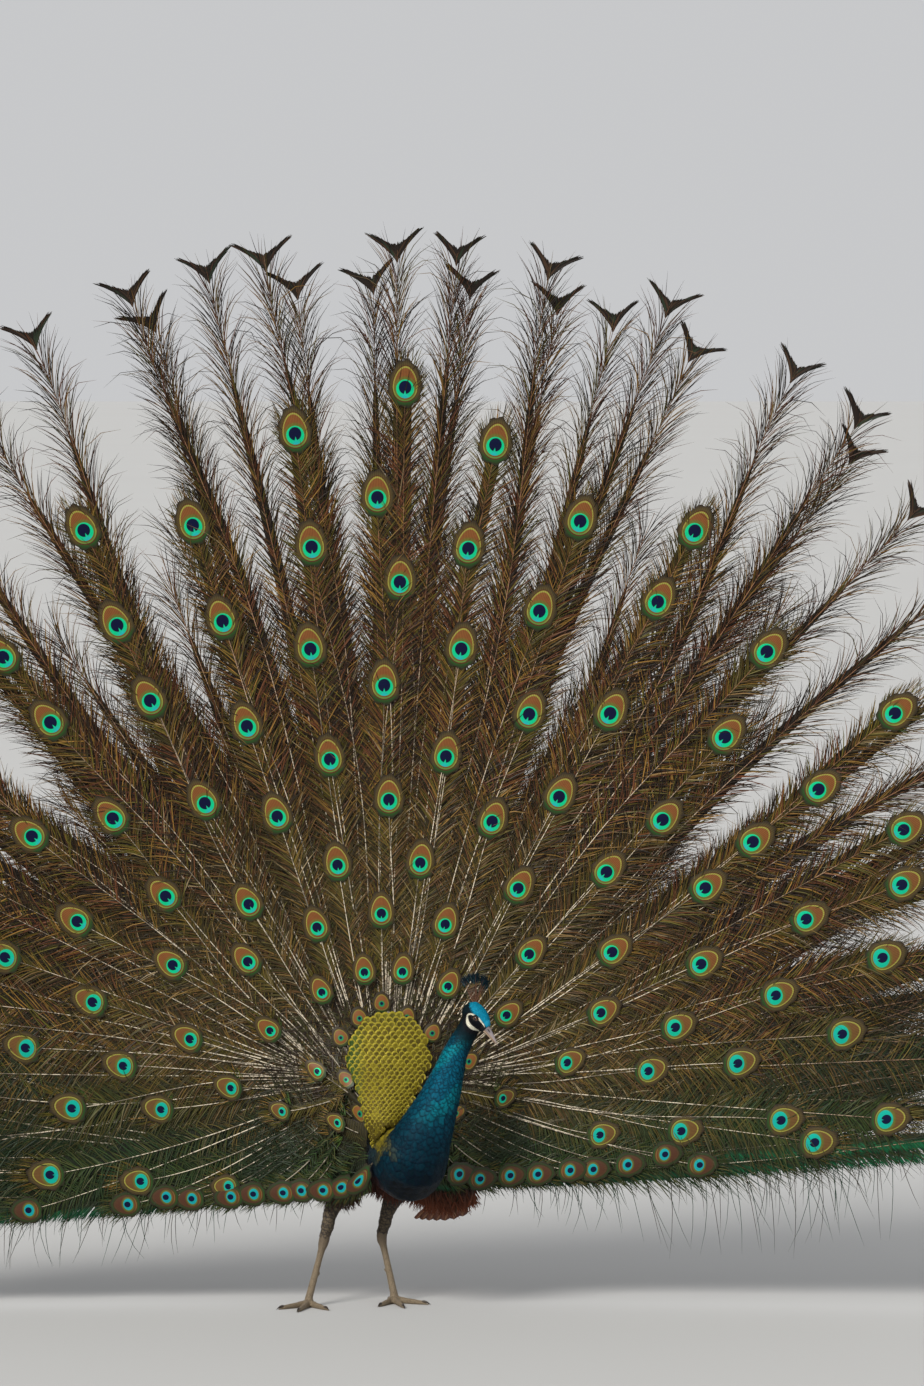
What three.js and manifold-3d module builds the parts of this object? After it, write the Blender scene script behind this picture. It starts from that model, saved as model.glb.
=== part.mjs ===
// A displaying peacock, life size, in millimetres. +Z is up, the bird faces -Y and its left side is +X.
// The measures below are taken on the ground under the root of the raised train; the whole group is
// moved at the end, so that the middle of its footprint is the origin.
import * as THREE from "three";
import { mergeVertices } from "three/addons/utils/BufferGeometryUtils.js";
import Module from "manifold-3d";

const wasm = await Module();
wasm.setup();

// ---------------------------------------------------------------- driving dimensions
const gap = 0.3; // air between neighbouring pieces
const degree = Math.PI / 180;

// The body's line from rump to throat, with half width, half height above and half height below.
const bodyLine = [
  { at: [-9, 226, 322], size: [14, 12, 12] },
  { at: [-6, 190, 312], size: [40, 30, 32] },
  { at: [1, 130, 296], size: [63, 52, 54] },
  { at: [13, 65, 280], size: [74, 64, 68] },
  { at: [27, 5, 266], size: [71, 68, 74] },
  { at: [39, -50, 256], size: [62, 68, 71] },
  { at: [47, -95, 262], size: [61, 62, 68] },
  { at: [58, -117, 288], size: [57, 54, 58] },
  { at: [71, -122, 318], size: [49, 47, 47] },
  { at: [91, -121, 365], size: [38.5, 38, 38] },
  { at: [107, -113, 408], size: [30.5, 31, 31] },
  { at: [121, -104, 449], size: [23.5, 25, 25] },
  { at: [139, -98, 482], size: [21, 20.5, 20.5] },
  { at: [151, -99, 507], size: [15, 14, 14] },
];
const bodySide = [-0.98, -0.17, 0]; // towards the bird's right
const neckBase = 7.6; // places along the body line, counted in its points
const neckMiddle = 9.6;

// The head looks down to the bird's left; its lengths run along the gaze from between the eyes.
const head = {
  middle: [160, -104, 505],
  gaze: [0.66, -0.42, -0.62],
  rings: [
    { along: -36, size: [4, 5, 4] },
    { along: -32, size: [11, 14, 11] },
    { along: -23, size: [15.5, 22.5, 17] },
    { along: -11, size: [17, 24, 18.5] },
    { along: 1, size: [16, 22.5, 17.5] },
    { along: 11, size: [13.5, 19, 15.5] },
    { along: 19, size: [10, 14, 12.5] },
    { along: 24, size: [7, 9, 9.5] },
  ],
  eyeRadius: 5.6,
  eyeOut: 11.6,
  eyeUp: 4.5,
};
const bill = {
  base: 17,
  tip: 57,
  lowerTip: 51,
  halfWidth: 7.2,
  ridge: 7,
  droop: 9,
  gape: -3.5,
  lowerDepth: 6,
};
const crest = {
  feathers: 7,
  back: -21,
  up: 17,
  length: 55,
  sideLength: 53,
  firstLean: 0 * degree,
  lastLean: 75 * degree,
  stem: 0.7,
  tipWidth: 5,
  tipLength: 14,
  tuft: 8,
};

// The raised train is a shallow bowl of feathers round a root on the back.
const fan = {
  root: [0, 313],
  rightEdge: -97 * degree,
  leftEdge: 91 * degree,
  sectors: 17,
  innerRadius: 22,
  leafRadius: 1300,
  lobe: 26,
  sideLoss: 0.09,
  span: 1548,
  setBack: 40,
  rootForward: 90,
  rootSpan: 110,
  lean: 100,
  cup: 130,
  drop: 110,
  dropStart: 30,
  dropFrom: 50 * degree,
  rightDropEnd: 1500,
  leftDropEnd: 1100,
  thickness: 0.9,
  rootThickness: 12,
  rootThicknessSpan: 140,
};
// The long feathers that end in a fork instead of an eye: angles in degrees of the two rows of tips.
const fishtail = {
  longReach: 1535,
  shortReach: 1480,
  longAngles: [-24, -17, -11.7, -7.9, 0.8, 4.7, 10.8, 19, 28.4, 33.7],
  shortAngles: [-16, -6, -0.8, 5.8, 11.9, 15.9, 21.5, 34.8],
  sideStep: 5.7,
  sideStart: [-29.5, 40.5],
  sideEnd: [-84, 79],
  stalk: 2,
  from: 1150,
  thickness: 1.7,
  halfWidth: 46,
  horn: 17,
  height: 34,
  neck: 22,
  hollow: 9,
  layer: 2.4,
};
const sword = {
  from: 70,
  reach: 1330,
  width: 40,
  thickness: 2,
  taper: [0.08, 0.97],
};
// The shield of gold scales behind the neck.
const mantle = {
  middle: 8,
  tip: [-12, 262],
  shoulder: 425,
  top: 520,
  halfWidth: 75,
  reach: 236,
  roundness: 0.62,
};
// The stiff tail fan that props the train from behind.
const tail = {
  root: [-8, 214, 322],
  feathers: 14,
  reach: 395,
  halfSpread: 76 * degree,
  lean: 0.36,
  lobe: 20,
  rootThickness: 5,
  thickness: 1.4,
};

// The wings droop beside the flanks: the line of their upper edge starts in the shoulder, and the
// lower edge hangs further out. Each pair of values is at the front and at the back.
const wing = {
  front: 26,
  back: 236,
  middle: [18, -8],
  upperOut: [60, 30],
  upperHeight: [306, 292],
  lowerOut: { right: [118, 62], left: [132, 70] },
  lowerHeight: [158, 226],
  halfThickness: 15,
  rounding: [0.08, 0.985],
};
const primaries = {
  feathers: 5,
  width: 32,
  thickness: 2.2,
  layerStep: 0.9,
  shortening: 0.05,
  fanStep: 6 * degree,
  left: { wrist: [122, 56, 206], tip: [84, 262, 130] },
  right: { wrist: [-92, 56, 206], tip: [-62, 280, 168] },
  spread: [1, 0, 0.25],
};

// Each leg from inside the flank, through hock and ankle, to the ground under the ankle.
const legs = {
  right: {
    thigh: [[-24, 14, 238], [-60, 24, 206], [-91, 31, 172], [-103, 31, 130]],
    hock: [-108, 30, 108],
    foot: [-133, -18],
    toes: [-48, -12, 30, 170],
  },
  left: {
    thigh: [[46, 22, 236], [28, 44, 206], [7, 66, 170], [-4, 77, 131]],
    hock: [-8, 78, 110],
    foot: [14, 38],
    toes: [-22, 12, 62, 196],
  },
};
const leg = {
  thighSizes: [42, 30, 17.5, 12.5],
  kneeRadius: 10.5,
  hockRadius: 11.5,
  shinRadius: 7,
  ankleRadius: 8.2,
  ankleHeight: 15,
  narrowing: 0.85,
  shinStart: 0.22,
  padHeight: 19,
  spurLength: 21,
  spurRadius: 4,
  spurAt: 0.36,
  spurRise: 3,
};
const toe = {
  lengths: [62, 78, 60, 34],
  clawLengths: [13, 15, 13, 11],
  halfWidth: 5,
  height: 10,
  padRadius: 9,
};

// ---------------------------------------------------------------- closed geometry
const vector = (list) => new THREE.Vector3(...list);
const mix = (a, b, share) => a + (b - a) * share;
const smooth = (value, low, high) => THREE.MathUtils.smoothstep(value, low, high);

// One closed surface from points and triangles, turned so that its faces look outwards.
function closed(points, triangles) {
  const geometry = new THREE.BufferGeometry().setFromPoints(points);
  let volume = 0;
  for (const [a, b, c] of triangles) {
    const normal = new THREE.Vector3().crossVectors(points[b], points[c]);
    volume += points[a].dot(normal);
  }
  const facing = volume < 0 ? triangles.map(([a, b, c]) => [a, c, b]) : triangles;
  geometry.setIndex(facing.flat());
  return geometry;
}

// Rings of equally many points, joined in order and capped at both ends.
function loft(rings) {
  const sides = rings[0].length;
  const points = rings.flat();
  const triangles = [];
  for (let ring = 0; ring < rings.length - 1; ring++) {
    for (let i = 0; i < sides; i++) {
      const a = ring * sides + i;
      const b = ring * sides + ((i + 1) % sides);
      triangles.push([a, b, b + sides], [a, b + sides, a + sides]);
    }
  }
  for (const [first, turn] of [[0, -1], [(rings.length - 1) * sides, 1]]) {
    const ring = points.slice(first, first + sides);
    const middle = ring.reduce((sum, p) => sum.add(p), new THREE.Vector3()).divideScalar(sides);
    const centre = points.push(middle) - 1;
    for (let i = 0; i < sides; i++) {
      const a = first + i;
      const b = first + ((i + 1) % sides);
      triangles.push(turn > 0 ? [a, b, centre] : [b, a, centre]);
    }
  }
  return closed(points, triangles);
}

// A plate between a front and a back sheet; sheet(u, v, side) gives a point, side being -1 or 1.
function plate(columns, rows, sheet) {
  const points = [];
  const triangles = [];
  const width = columns + 1;
  const layer = width * (rows + 1);
  for (const side of [-1, 1]) {
    for (let row = 0; row <= rows; row++) {
      for (let column = 0; column <= columns; column++) {
        points.push(sheet(column / columns, row / rows, side));
      }
    }
  }
  for (let row = 0; row < rows; row++) {
    for (let column = 0; column < columns; column++) {
      const a = row * width + column;
      const corners = [a, a + 1, a + width + 1, a + width];
      const [p, q, r, s] = corners;
      triangles.push([p, q, r], [p, r, s]);
      const [t, u, v, w] = corners.map((corner) => corner + layer);
      triangles.push([t, v, u], [t, w, v]);
    }
  }
  const rim = [];
  for (let column = 0; column < columns; column++) rim.push(column);
  for (let row = 0; row < rows; row++) rim.push(row * width + columns);
  for (let column = columns; column > 0; column--) rim.push(rows * width + column);
  for (let row = rows; row > 0; row--) rim.push(row * width);
  rim.forEach((a, i) => {
    const b = rim[(i + 1) % rim.length];
    triangles.push([b, a, a + layer], [b, a + layer, b + layer]);
  });
  return closed(points, triangles);
}

// ---------------------------------------------------------------- solids
function solid(geometry) {
  const bare = geometry.clone();
  bare.deleteAttribute("normal");
  bare.deleteAttribute("uv");
  const merged = mergeVertices(bare, 1e-4);
  return new wasm.Manifold(
    new wasm.Mesh({
      numProp: 3,
      vertProperties: merged.attributes.position.array,
      triVerts: new Uint32Array(merged.index.array),
    }),
  );
}

function geometryOf(manifold) {
  const mesh = manifold.getMesh();
  const geometry = new THREE.BufferGeometry();
  geometry.setAttribute("position", new THREE.BufferAttribute(mesh.vertProperties, 3));
  geometry.setIndex(new THREE.BufferAttribute(mesh.triVerts, 1));
  return geometry;
}

const join = (parts) => parts.reduce((sum, part) => sum.add(part));
const cut = (body, tools) => tools.reduce((left, tool) => left.subtract(tool), body);

// What is left of a cut piece, without the slivers on the far side of its neighbour.
function mainBody(manifold) {
  return manifold.decompose().reduce((best, part) => (part.volume() > best.volume() ? part : best));
}

// An oval round a point: cos runs along side, sin along up, and each half has its own height.
function oval(centre, side, up, [wide, above, below], sides, grow = 0) {
  return Array.from({ length: sides }, (_, i) => {
    const angle = (i / sides) * 2 * Math.PI;
    const height = Math.sin(angle) > 0 ? above : below;
    return centre
      .clone()
      .addScaledVector(side, Math.cos(angle) * (wide + grow))
      .addScaledVector(up, Math.sin(angle) * (height + grow));
  });
}

// A limb: ovals square to a smooth line through the given points.
function limb(line, sizes, { sides = 10, steps = 8, side = [1, 0, 0], grow = 0, from = 0, to = 1 } = {}) {
  const path = new THREE.CatmullRomCurve3(line.map(vector));
  const girth = new THREE.CatmullRomCurve3(sizes.map(vector));
  const rings = [];
  for (let i = 0; i <= steps; i++) {
    const t = mix(from, to, i / steps);
    const tangent = path.getTangent(t);
    const across = vector(side);
    across.addScaledVector(tangent, -across.dot(tangent)).normalize();
    const up = new THREE.Vector3().crossVectors(across, tangent).normalize();
    const end = i === 0 ? -grow : i === steps ? grow : 0;
    const centre = path.getPoint(t).addScaledVector(tangent, end);
    rings.push(oval(centre, across, up, girth.getPoint(t).toArray(), sides, grow));
  }
  return loft(rings);
}

// ---------------------------------------------------------------- trunk and neck
function bodyLength(from, to, steps, grow = 0) {
  const last = bodyLine.length - 1;
  return limb(
    bodyLine.map((ring) => ring.at),
    bodyLine.map((ring) => ring.size),
    { sides: 16, steps, side: bodySide, grow, from: from / last, to: to / last },
  );
}

// ---------------------------------------------------------------- head, bill, eyes and crest
const gaze = vector(head.gaze).normalize();
const headRight = new THREE.Vector3().crossVectors(gaze, new THREE.Vector3(0, 0, 1)).normalize();
const headUp = new THREE.Vector3().crossVectors(headRight, gaze);

function headPoint(along, right, up) {
  return vector(head.middle)
    .addScaledVector(gaze, along)
    .addScaledVector(headRight, right)
    .addScaledVector(headUp, up);
}

function skull(grow = 0) {
  const last = head.rings.length - 1;
  return loft(
    head.rings.map(({ along, size }, i) => {
      const end = i === 0 ? -grow : i === last ? grow : 0;
      return oval(headPoint(along + end, 0, 0), headRight, headUp, size, 12, grow);
    }),
  );
}

// A half of the bill between the line of the gape and the culmen, or the chin.
function billHalf(upper) {
  const steps = 6;
  const tip = upper ? bill.tip : bill.lowerTip;
  const rings = [];
  for (let i = 0; i <= steps; i++) {
    const share = i / steps;
    const along = mix(bill.base, tip, share);
    const droop = bill.droop * share ** 2;
    const wide = mix(bill.halfWidth, 0.7, share ** 1.3);
    const seam = bill.gape - droop * 0.7 + (upper ? gap / 2 : -gap / 2);
    const culmen = seam + mix(bill.ridge - bill.gape, 1.2, share ** 1.2);
    const chin = seam - mix(bill.lowerDepth, 0.9, share);
    const edge = upper ? culmen : chin;
    const middle = mix(seam, edge, 0.62);
    rings.push([
      headPoint(along, -wide, seam),
      headPoint(along, wide, seam),
      headPoint(along, wide * 0.85, middle),
      headPoint(along, wide * 0.3, edge),
      headPoint(along, -wide * 0.3, edge),
      headPoint(along, -wide * 0.85, middle),
    ]);
  }
  return loft(rings);
}

function eyeBall(right, grow = 0) {
  const place = headPoint(0, right * head.eyeOut, head.eyeUp);
  return new THREE.IcosahedronGeometry(head.eyeRadius + grow, 1).translate(...place.toArray());
}

// A crest feather: a bare stem with a spatula at its end, in the head's middle plane.
function crestFeather(lean, length) {
  const direction = headUp.clone().multiplyScalar(Math.cos(lean)).addScaledVector(gaze, -Math.sin(lean));
  const across = new THREE.Vector3().crossVectors(headRight, direction);
  const root = headPoint(crest.back, 0, crest.up);
  const profile = [
    [crest.tuft * 0.7, crest.stem],
    [length - crest.tipLength, crest.stem],
    [length - crest.tipLength * 0.3, crest.tipWidth],
    [length, crest.stem],
  ];
  return loft(
    profile.map(([out, wide]) => {
      const centre = root.clone().addScaledVector(direction, out);
      return oval(centre, across, headRight, [wide, crest.stem, crest.stem], 4);
    }),
  );
}

function crestPlume() {
  const feathers = Array.from({ length: crest.feathers }, (_, i) => {
    const share = i / (crest.feathers - 1);
    const lean = mix(crest.firstLean, crest.lastLean, share);
    const length = mix(crest.sideLength, crest.length, Math.sin(share * Math.PI));
    return solid(crestFeather(lean, length));
  });
  const tuft = new THREE.IcosahedronGeometry(crest.tuft);
  tuft.translate(...headPoint(crest.back, 0, crest.up).toArray());
  return join([...feathers, solid(tuft)]);
}

// ---------------------------------------------------------------- train
// A point of the bowl, at a distance from the root along an angle from the vertical.
function fanPoint(radius, angle, forward = 0) {
  const edge = angle < 0 ? -fan.rightEdge : fan.leftEdge;
  const dropEnd = angle < 0 ? fan.rightDropEnd : fan.leftDropEnd;
  const low = smooth(Math.abs(angle), fan.dropFrom, edge);
  const drop = fan.drop * low * (1 - Math.exp(-radius / fan.dropStart)) * (1 - radius / dropEnd);
  const forwardPull = fan.rootForward * Math.exp(-((radius / fan.rootSpan) ** 2));
  const bowl = (fan.lean + fan.cup * Math.sin(angle) ** 2) * (radius / fan.span) ** 2;
  return new THREE.Vector3(
    fan.root[0] + radius * Math.sin(angle),
    fan.setBack - forwardPull - bowl - forward,
    fan.root[1] + radius * Math.cos(angle) - drop,
  );
}

const sectorAngle = (fan.leftEdge - fan.rightEdge) / fan.sectors;

function fanThickness(radius) {
  return fan.thickness + fan.rootThickness * Math.exp(-radius / fan.rootThicknessSpan);
}

// The train is shorter at its sides than at its top.
function reachAt(angle, reach) {
  return reach * (1 - fan.sideLoss * Math.sin(angle) ** 2);
}

// The feathers' rounded ends make one lobe of the edge in each sector.
function leafEdge(angle) {
  const turns = (angle - fan.rightEdge) / sectorAngle;
  const scallop = fan.lobe * Math.abs(Math.sin(turns * Math.PI));
  return reachAt(angle, fan.leafRadius - fan.lobe + scallop);
}

function trainLeaf(from, to, inner, outer, columns, rows, grow = 0) {
  return plate(columns, rows, (u, v, side) => {
    const nominal = mix(from, to, u);
    const radius = mix(inner, outer(nominal) + grow, v ** 1.5);
    const air = ((gap / 2 - grow) / radius) * (1 - 2 * u);
    const half = fanThickness(radius) / 2 + grow;
    return fanPoint(radius, nominal + air, -side * half);
  });
}

// The forked end and stalk of a long feather, cut flat and then laid on the bowl.
function fishtailFeather(angle, reach, layer) {
  const { stalk, halfWidth, horn, height, neck, hollow, from, thickness } = fishtail;
  const neckEnd = reach - height;
  const right = [
    [stalk, from],
    [stalk, neckEnd - neck],
    [stalk * 2.4, neckEnd],
    [halfWidth * 0.45, reach - hollow],
    [halfWidth, reach + horn],
  ];
  const left = right.map(([x, r]) => [-x, r]).reverse();
  const outline = [...right, ...left].map(([x, r]) => new THREE.Vector2(x, r));
  const geometry = new THREE.ExtrudeGeometry(new THREE.Shape(outline), {
    depth: thickness,
    bevelEnabled: false,
  });
  const position = geometry.attributes.position;
  for (let i = 0; i < position.count; i++) {
    const radius = position.getY(i);
    const around = angle + position.getX(i) / radius;
    const lift = layer * smooth(radius, fan.leafRadius - 120, fan.leafRadius + 60);
    const place = fanPoint(radius, around, lift + thickness / 2 - position.getZ(i));
    position.setXYZ(i, ...place.toArray());
  }
  geometry.deleteAttribute("normal");
  geometry.deleteAttribute("uv");
  const merged = mergeVertices(geometry, 1e-4);
  const points = [];
  for (let i = 0; i < merged.attributes.position.count; i++) {
    points.push(new THREE.Vector3().fromBufferAttribute(merged.attributes.position, i));
  }
  const triangles = [];
  for (let i = 0; i < merged.index.count; i += 3) {
    triangles.push([merged.index.getX(i), merged.index.getX(i + 1), merged.index.getX(i + 2)]);
  }
  return closed(points, triangles);
}

// Angle, reach and layer of every forked feather, from the two rows and the sides beyond them.
function fishtailPlaces() {
  const long = fishtail.longAngles.map((angle) => [angle, true]);
  const short = fishtail.shortAngles.map((angle) => [angle, false]);
  const sides = [];
  for (const i of [0, 1]) {
    const step = Math.sign(fishtail.sideEnd[i]) * fishtail.sideStep;
    const count = Math.floor((fishtail.sideEnd[i] - fishtail.sideStart[i]) / step);
    for (let n = 0; n <= count; n++) {
      sides.push([fishtail.sideStart[i] + n * step, n % 2 === 1]);
    }
  }
  return [...long, ...short, ...sides].map(([angle, isLong]) => ({
    angle: angle * degree,
    reach: reachAt(angle * degree, isLong ? fishtail.longReach : fishtail.shortReach),
    layer: isLong ? fishtail.layer : -fishtail.layer,
  }));
}

// The narrow feather that closes the train along its lower edge.
function swordFeather(angle) {
  return plate(10, 1, (u, v, side) => {
    const radius = mix(sword.from, sword.reach, u);
    const depth = sword.width * Math.sqrt(Math.sin(Math.PI * mix(...sword.taper, u)));
    const place = fanPoint(radius, angle, (-side * sword.thickness) / 2);
    place.z -= gap + depth * v;
    return place;
  });
}

function mantlePrism(grow) {
  const { middle, tip, shoulder } = mantle;
  const half = mantle.halfWidth + grow;
  const top = mantle.top + grow;
  const rise = (top - shoulder) * mantle.roundness;
  const shape = new THREE.Shape();
  shape.moveTo(tip[0], tip[1] - grow * 2);
  shape.lineTo(middle + half, shoulder);
  shape.bezierCurveTo(middle + half, shoulder + rise, middle + half * 0.6, top, middle, top);
  shape.bezierCurveTo(middle - half * 0.6, top, middle - half, shoulder + rise, middle - half, shoulder);
  const geometry = new THREE.ExtrudeGeometry(shape, { depth: 400, bevelEnabled: false, curveSegments: 8 });
  geometry.rotateX(Math.PI / 2);
  geometry.translate(0, 200, 0);
  return solid(geometry);
}

// ---------------------------------------------------------------- tail fan
function tailFan() {
  return plate(tail.feathers * 2, 1, (u, v, side) => {
    const angle = mix(-tail.halfSpread, tail.halfSpread, u);
    const lobe = tail.lobe * Math.abs(Math.sin(u * tail.feathers * Math.PI));
    const radius = mix(14, tail.reach - tail.lobe + lobe, v);
    const [x, y, z] = tail.root;
    const half = mix(tail.rootThickness, tail.thickness, v) / 2;
    return new THREE.Vector3(
      x + radius * Math.sin(angle),
      y - tail.lean * radius + side * half,
      z + radius * Math.cos(angle),
    );
  });
}

// ---------------------------------------------------------------- wings
// A folded wing beside the flank: lens-shaped sections between its upper and its lower edge.
function wingSide(name, grow = 0) {
  const steps = 6;
  const outwards = name === "left" ? 1 : -1;
  const rings = [];
  for (let i = 0; i <= steps; i++) {
    const share = i / steps;
    const swell = Math.sin(Math.PI * mix(...wing.rounding, share ** 0.8)) ** 0.6;
    const y = mix(wing.front, wing.back, share);
    const middle = mix(...wing.middle, share);
    const upperX = middle + outwards * mix(...wing.upperOut, share);
    const lowerX = middle + outwards * mix(...wing.lowerOut[name], share ** 2);
    const upper = new THREE.Vector3(upperX, y, mix(...wing.upperHeight, share));
    const lower = new THREE.Vector3(lowerX, y, mix(...wing.lowerHeight, share));
    const centre = upper.clone().add(lower).divideScalar(2);
    const rise = upper.sub(lower);
    const half = (rise.length() / 2) * swell;
    rise.normalize();
    const side = new THREE.Vector3(rise.z, 0, -rise.x);
    rings.push(oval(centre, side, rise, [wing.halfThickness * swell, half, half], 10, grow));
  }
  return loft(rings);
}

// The long wing quills, spread a little from the wrist downwards and back.
function quills({ wrist, tip }) {
  const root = vector(wrist);
  const along = vector(tip).sub(root);
  const length = along.length();
  along.normalize();
  const across = vector(primaries.spread);
  across.addScaledVector(along, -across.dot(along)).normalize();
  const thin = new THREE.Vector3().crossVectors(across, along);
  const feathers = Array.from({ length: primaries.feathers }, (_, i) => {
    const fromMiddle = i - (primaries.feathers - 1) / 2;
    const turn = fromMiddle * primaries.fanStep;
    const aim = along.clone().applyAxisAngle(thin, turn);
    const wide = across.clone().applyAxisAngle(thin, turn);
    const start = root.clone().addScaledVector(thin, fromMiddle * primaries.layerStep);
    const reach = length * (1 - primaries.shortening * Math.abs(i - 1));
    const half = primaries.width / 2;
    const thick = primaries.thickness / 2;
    const profile = [[0, 0.45], [0.8, 0.95], [1, 0.25]];
    return solid(
      loft(
        profile.map(([share, swell]) => {
          const centre = start.clone().addScaledVector(aim, share * reach);
          return oval(centre, wide, thin, [half * swell, thick, thick], 4);
        }),
      ),
    );
  });
  return join(feathers);
}

// ---------------------------------------------------------------- legs and feet
function thigh(name, grow = 0) {
  const line = legs[name].thigh;
  const sizes = leg.thighSizes.map((radius) => [radius * 0.92, radius, radius]);
  return limb(line, sizes, { sides: 10, steps: 5, grow });
}

function shankLine(name) {
  const { thigh: above, hock, foot } = legs[name];
  const knee = above[above.length - 1];
  return [knee, hock, mixPoint(hock, [...foot, leg.ankleHeight], leg.shinStart), [...foot, leg.ankleHeight]];
}

function mixPoint(a, b, share) {
  return a.map((value, i) => mix(value, b[i], share));
}

function shank(name, grow = 0) {
  const radii = [leg.kneeRadius, leg.hockRadius, leg.shinRadius, leg.ankleRadius];
  const bone = limb(
    shankLine(name),
    radii.map((radius) => [radius * leg.narrowing, radius, radius]),
    { sides: 8, steps: 7, grow },
  );
  return solid(bone);
}

// The spur points back and inwards from the shin.
function spur(name) {
  const { hock, foot } = legs[name];
  const place = vector(mixPoint([...foot, leg.ankleHeight], hock, leg.spurAt));
  const inward = name === "left" ? -0.6 : 0.6;
  const direction = new THREE.Vector3(inward, 0.75, 0.25).normalize();
  const across = new THREE.Vector3(0, 0, 1).cross(direction).normalize();
  const up = new THREE.Vector3().crossVectors(across, direction);
  const shares = [0, 0.5, 1];
  return solid(
    loft(
      shares.map((share) => {
        const radius = leg.spurRadius * (1 - share * 0.85);
        const centre = place.clone().addScaledVector(direction, share * leg.spurLength);
        centre.z += leg.spurRise * share ** 2;
        return oval(centre, across, up, [radius, radius, radius], 6);
      }),
    ),
  );
}

// A toe lies flat on the ground and ends in a claw; knuckles swell along it.
function toeSolid(origin, heading, length, claw) {
  const direction = new THREE.Vector3(Math.sin(heading), -Math.cos(heading), 0);
  const across = new THREE.Vector3(direction.y, -direction.x, 0);
  const sections = [
    { out: 0, wide: 1.25, high: 1.35 },
    { out: 0.42, wide: 1, high: 1 },
    { out: 0.93, wide: 0.78, high: 0.72 },
    { out: 1, wide: 0.42, high: 0.5 },
    { out: 1 + claw / length, wide: 0.1, high: 0.12 },
  ];
  return solid(
    loft(
      sections.map(({ out, wide, high }) => {
        const centre = new THREE.Vector3(origin[0], origin[1], 0).addScaledVector(direction, out * length);
        const half = toe.halfWidth * wide;
        const top = toe.height * high;
        const corner = (x, z) => centre.clone().addScaledVector(across, x).setZ(z);
        return [
          corner(-half * 0.75, 0),
          corner(half * 0.75, 0),
          corner(half, top * 0.45),
          corner(half * 0.5, top),
          corner(-half * 0.5, top),
          corner(-half, top * 0.45),
        ];
      }),
    ),
  );
}

function footSolid(name) {
  const { foot, toes } = legs[name];
  const parts = toes.map((turn, i) =>
    toeSolid(foot, turn * degree, toe.lengths[i], toe.clawLengths[i]),
  );
  const heights = [[0, 0.95], [leg.ankleHeight * 0.55, 1], [leg.padHeight, 0.72]];
  const pad = loft(
    heights.map(([z, swell]) => {
      const radius = toe.padRadius * swell;
      const centre = new THREE.Vector3(foot[0], foot[1], z);
      const side = new THREE.Vector3(1, 0, 0);
      return oval(centre, side, new THREE.Vector3(0, 1, 0), [radius, radius, radius], 6);
    }),
  );
  return join([...parts, solid(pad)]);
}

// ---------------------------------------------------------------- the bird
const bird = new THREE.Group();
const finishes = {
  blue: { color: 0x0b3f6e, roughness: 0.5, metalness: 0.1 },
  dark: { color: 0x1c2430, roughness: 0.8, metalness: 0 },
  horn: { color: 0x8b867c, roughness: 0.55, metalness: 0 },
  eye: { color: 0x1a0f08, roughness: 0.1, metalness: 0 },
  gold: { color: 0x8a7d2c, roughness: 0.45, metalness: 0.25 },
  bronze: { color: 0x5c4a2c, roughness: 0.6, metalness: 0.1 },
  green: { color: 0x1f7a3a, roughness: 0.55, metalness: 0.1 },
  rust: { color: 0x9a5a2a, roughness: 0.75, metalness: 0 },
  barred: { color: 0x9a907c, roughness: 0.8, metalness: 0 },
  brown: { color: 0x6a5a48, roughness: 0.85, metalness: 0 },
  skin: { color: 0x8d8478, roughness: 0.65, metalness: 0 },
};

function addMesh(name, shape, finish) {
  const material = new THREE.MeshStandardMaterial({ ...finishes[finish], flatShading: true });
  const mesh = new THREE.Mesh(geometryOf(shape), material);
  mesh.name = name;
  bird.add(mesh);
}

const lastPoint = bodyLine.length - 1;
const skullClear = solid(skull(gap));
const lengths = [
  { name: "trunk", from: 0, to: neckBase, steps: 12 },
  { name: "neck_lower", from: neckBase + 0.01, to: neckMiddle, steps: 4 },
  { name: "neck_upper", from: neckMiddle + 0.01, to: lastPoint, steps: 5 },
];
for (const { name, from, to, steps } of lengths) {
  addMesh(name, mainBody(cut(solid(bodyLength(from, to, steps)), [skullClear])), "blue");
}
const bodyClear = join(lengths.map(({ from, to, steps }) => solid(bodyLength(from, to, steps, gap))));

const eyeSockets = [1, -1].map((right) => solid(eyeBall(right, gap)));
addMesh("head", cut(solid(skull()), eyeSockets), "blue");
addMesh("eye_right", solid(eyeBall(1)), "eye");
addMesh("eye_left", solid(eyeBall(-1)), "eye");
addMesh("bill_upper", cut(solid(billHalf(true)), [skullClear]), "horn");
addMesh("bill_lower", cut(solid(billHalf(false)), [skullClear]), "horn");
addMesh("crest", mainBody(cut(crestPlume(), [skullClear])), "green");

const sideClear = [];
for (const name of ["right", "left"]) {
  const thighClear = solid(thigh(name, gap));
  const wingClear = solid(wingSide(name, gap));
  sideClear.push(thighClear, wingClear);
  addMesh("thigh_" + name, mainBody(cut(solid(thigh(name)), [bodyClear])), "dark");
  addMesh("shank_" + name, mainBody(cut(shank(name).add(spur(name)), [thighClear])), "skin");
  addMesh("foot_" + name, mainBody(cut(footSolid(name), [shank(name, gap)])), "skin");
  addMesh("wing_" + name, mainBody(cut(solid(wingSide(name)), [bodyClear, thighClear])), "barred");
  const bunch = cut(quills(primaries[name]), [bodyClear, wingClear, thighClear]);
  addMesh("primaries_" + name, mainBody(bunch), "rust");
}

const fullLeaf = trainLeaf(fan.rightEdge, fan.leftEdge, 4, () => mantle.reach, 17, 5);
const shield = cut(solid(fullLeaf).intersect(mantlePrism(0)), [bodyClear, ...sideClear]);
addMesh("mantle", mainBody(shield), "gold");

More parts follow.
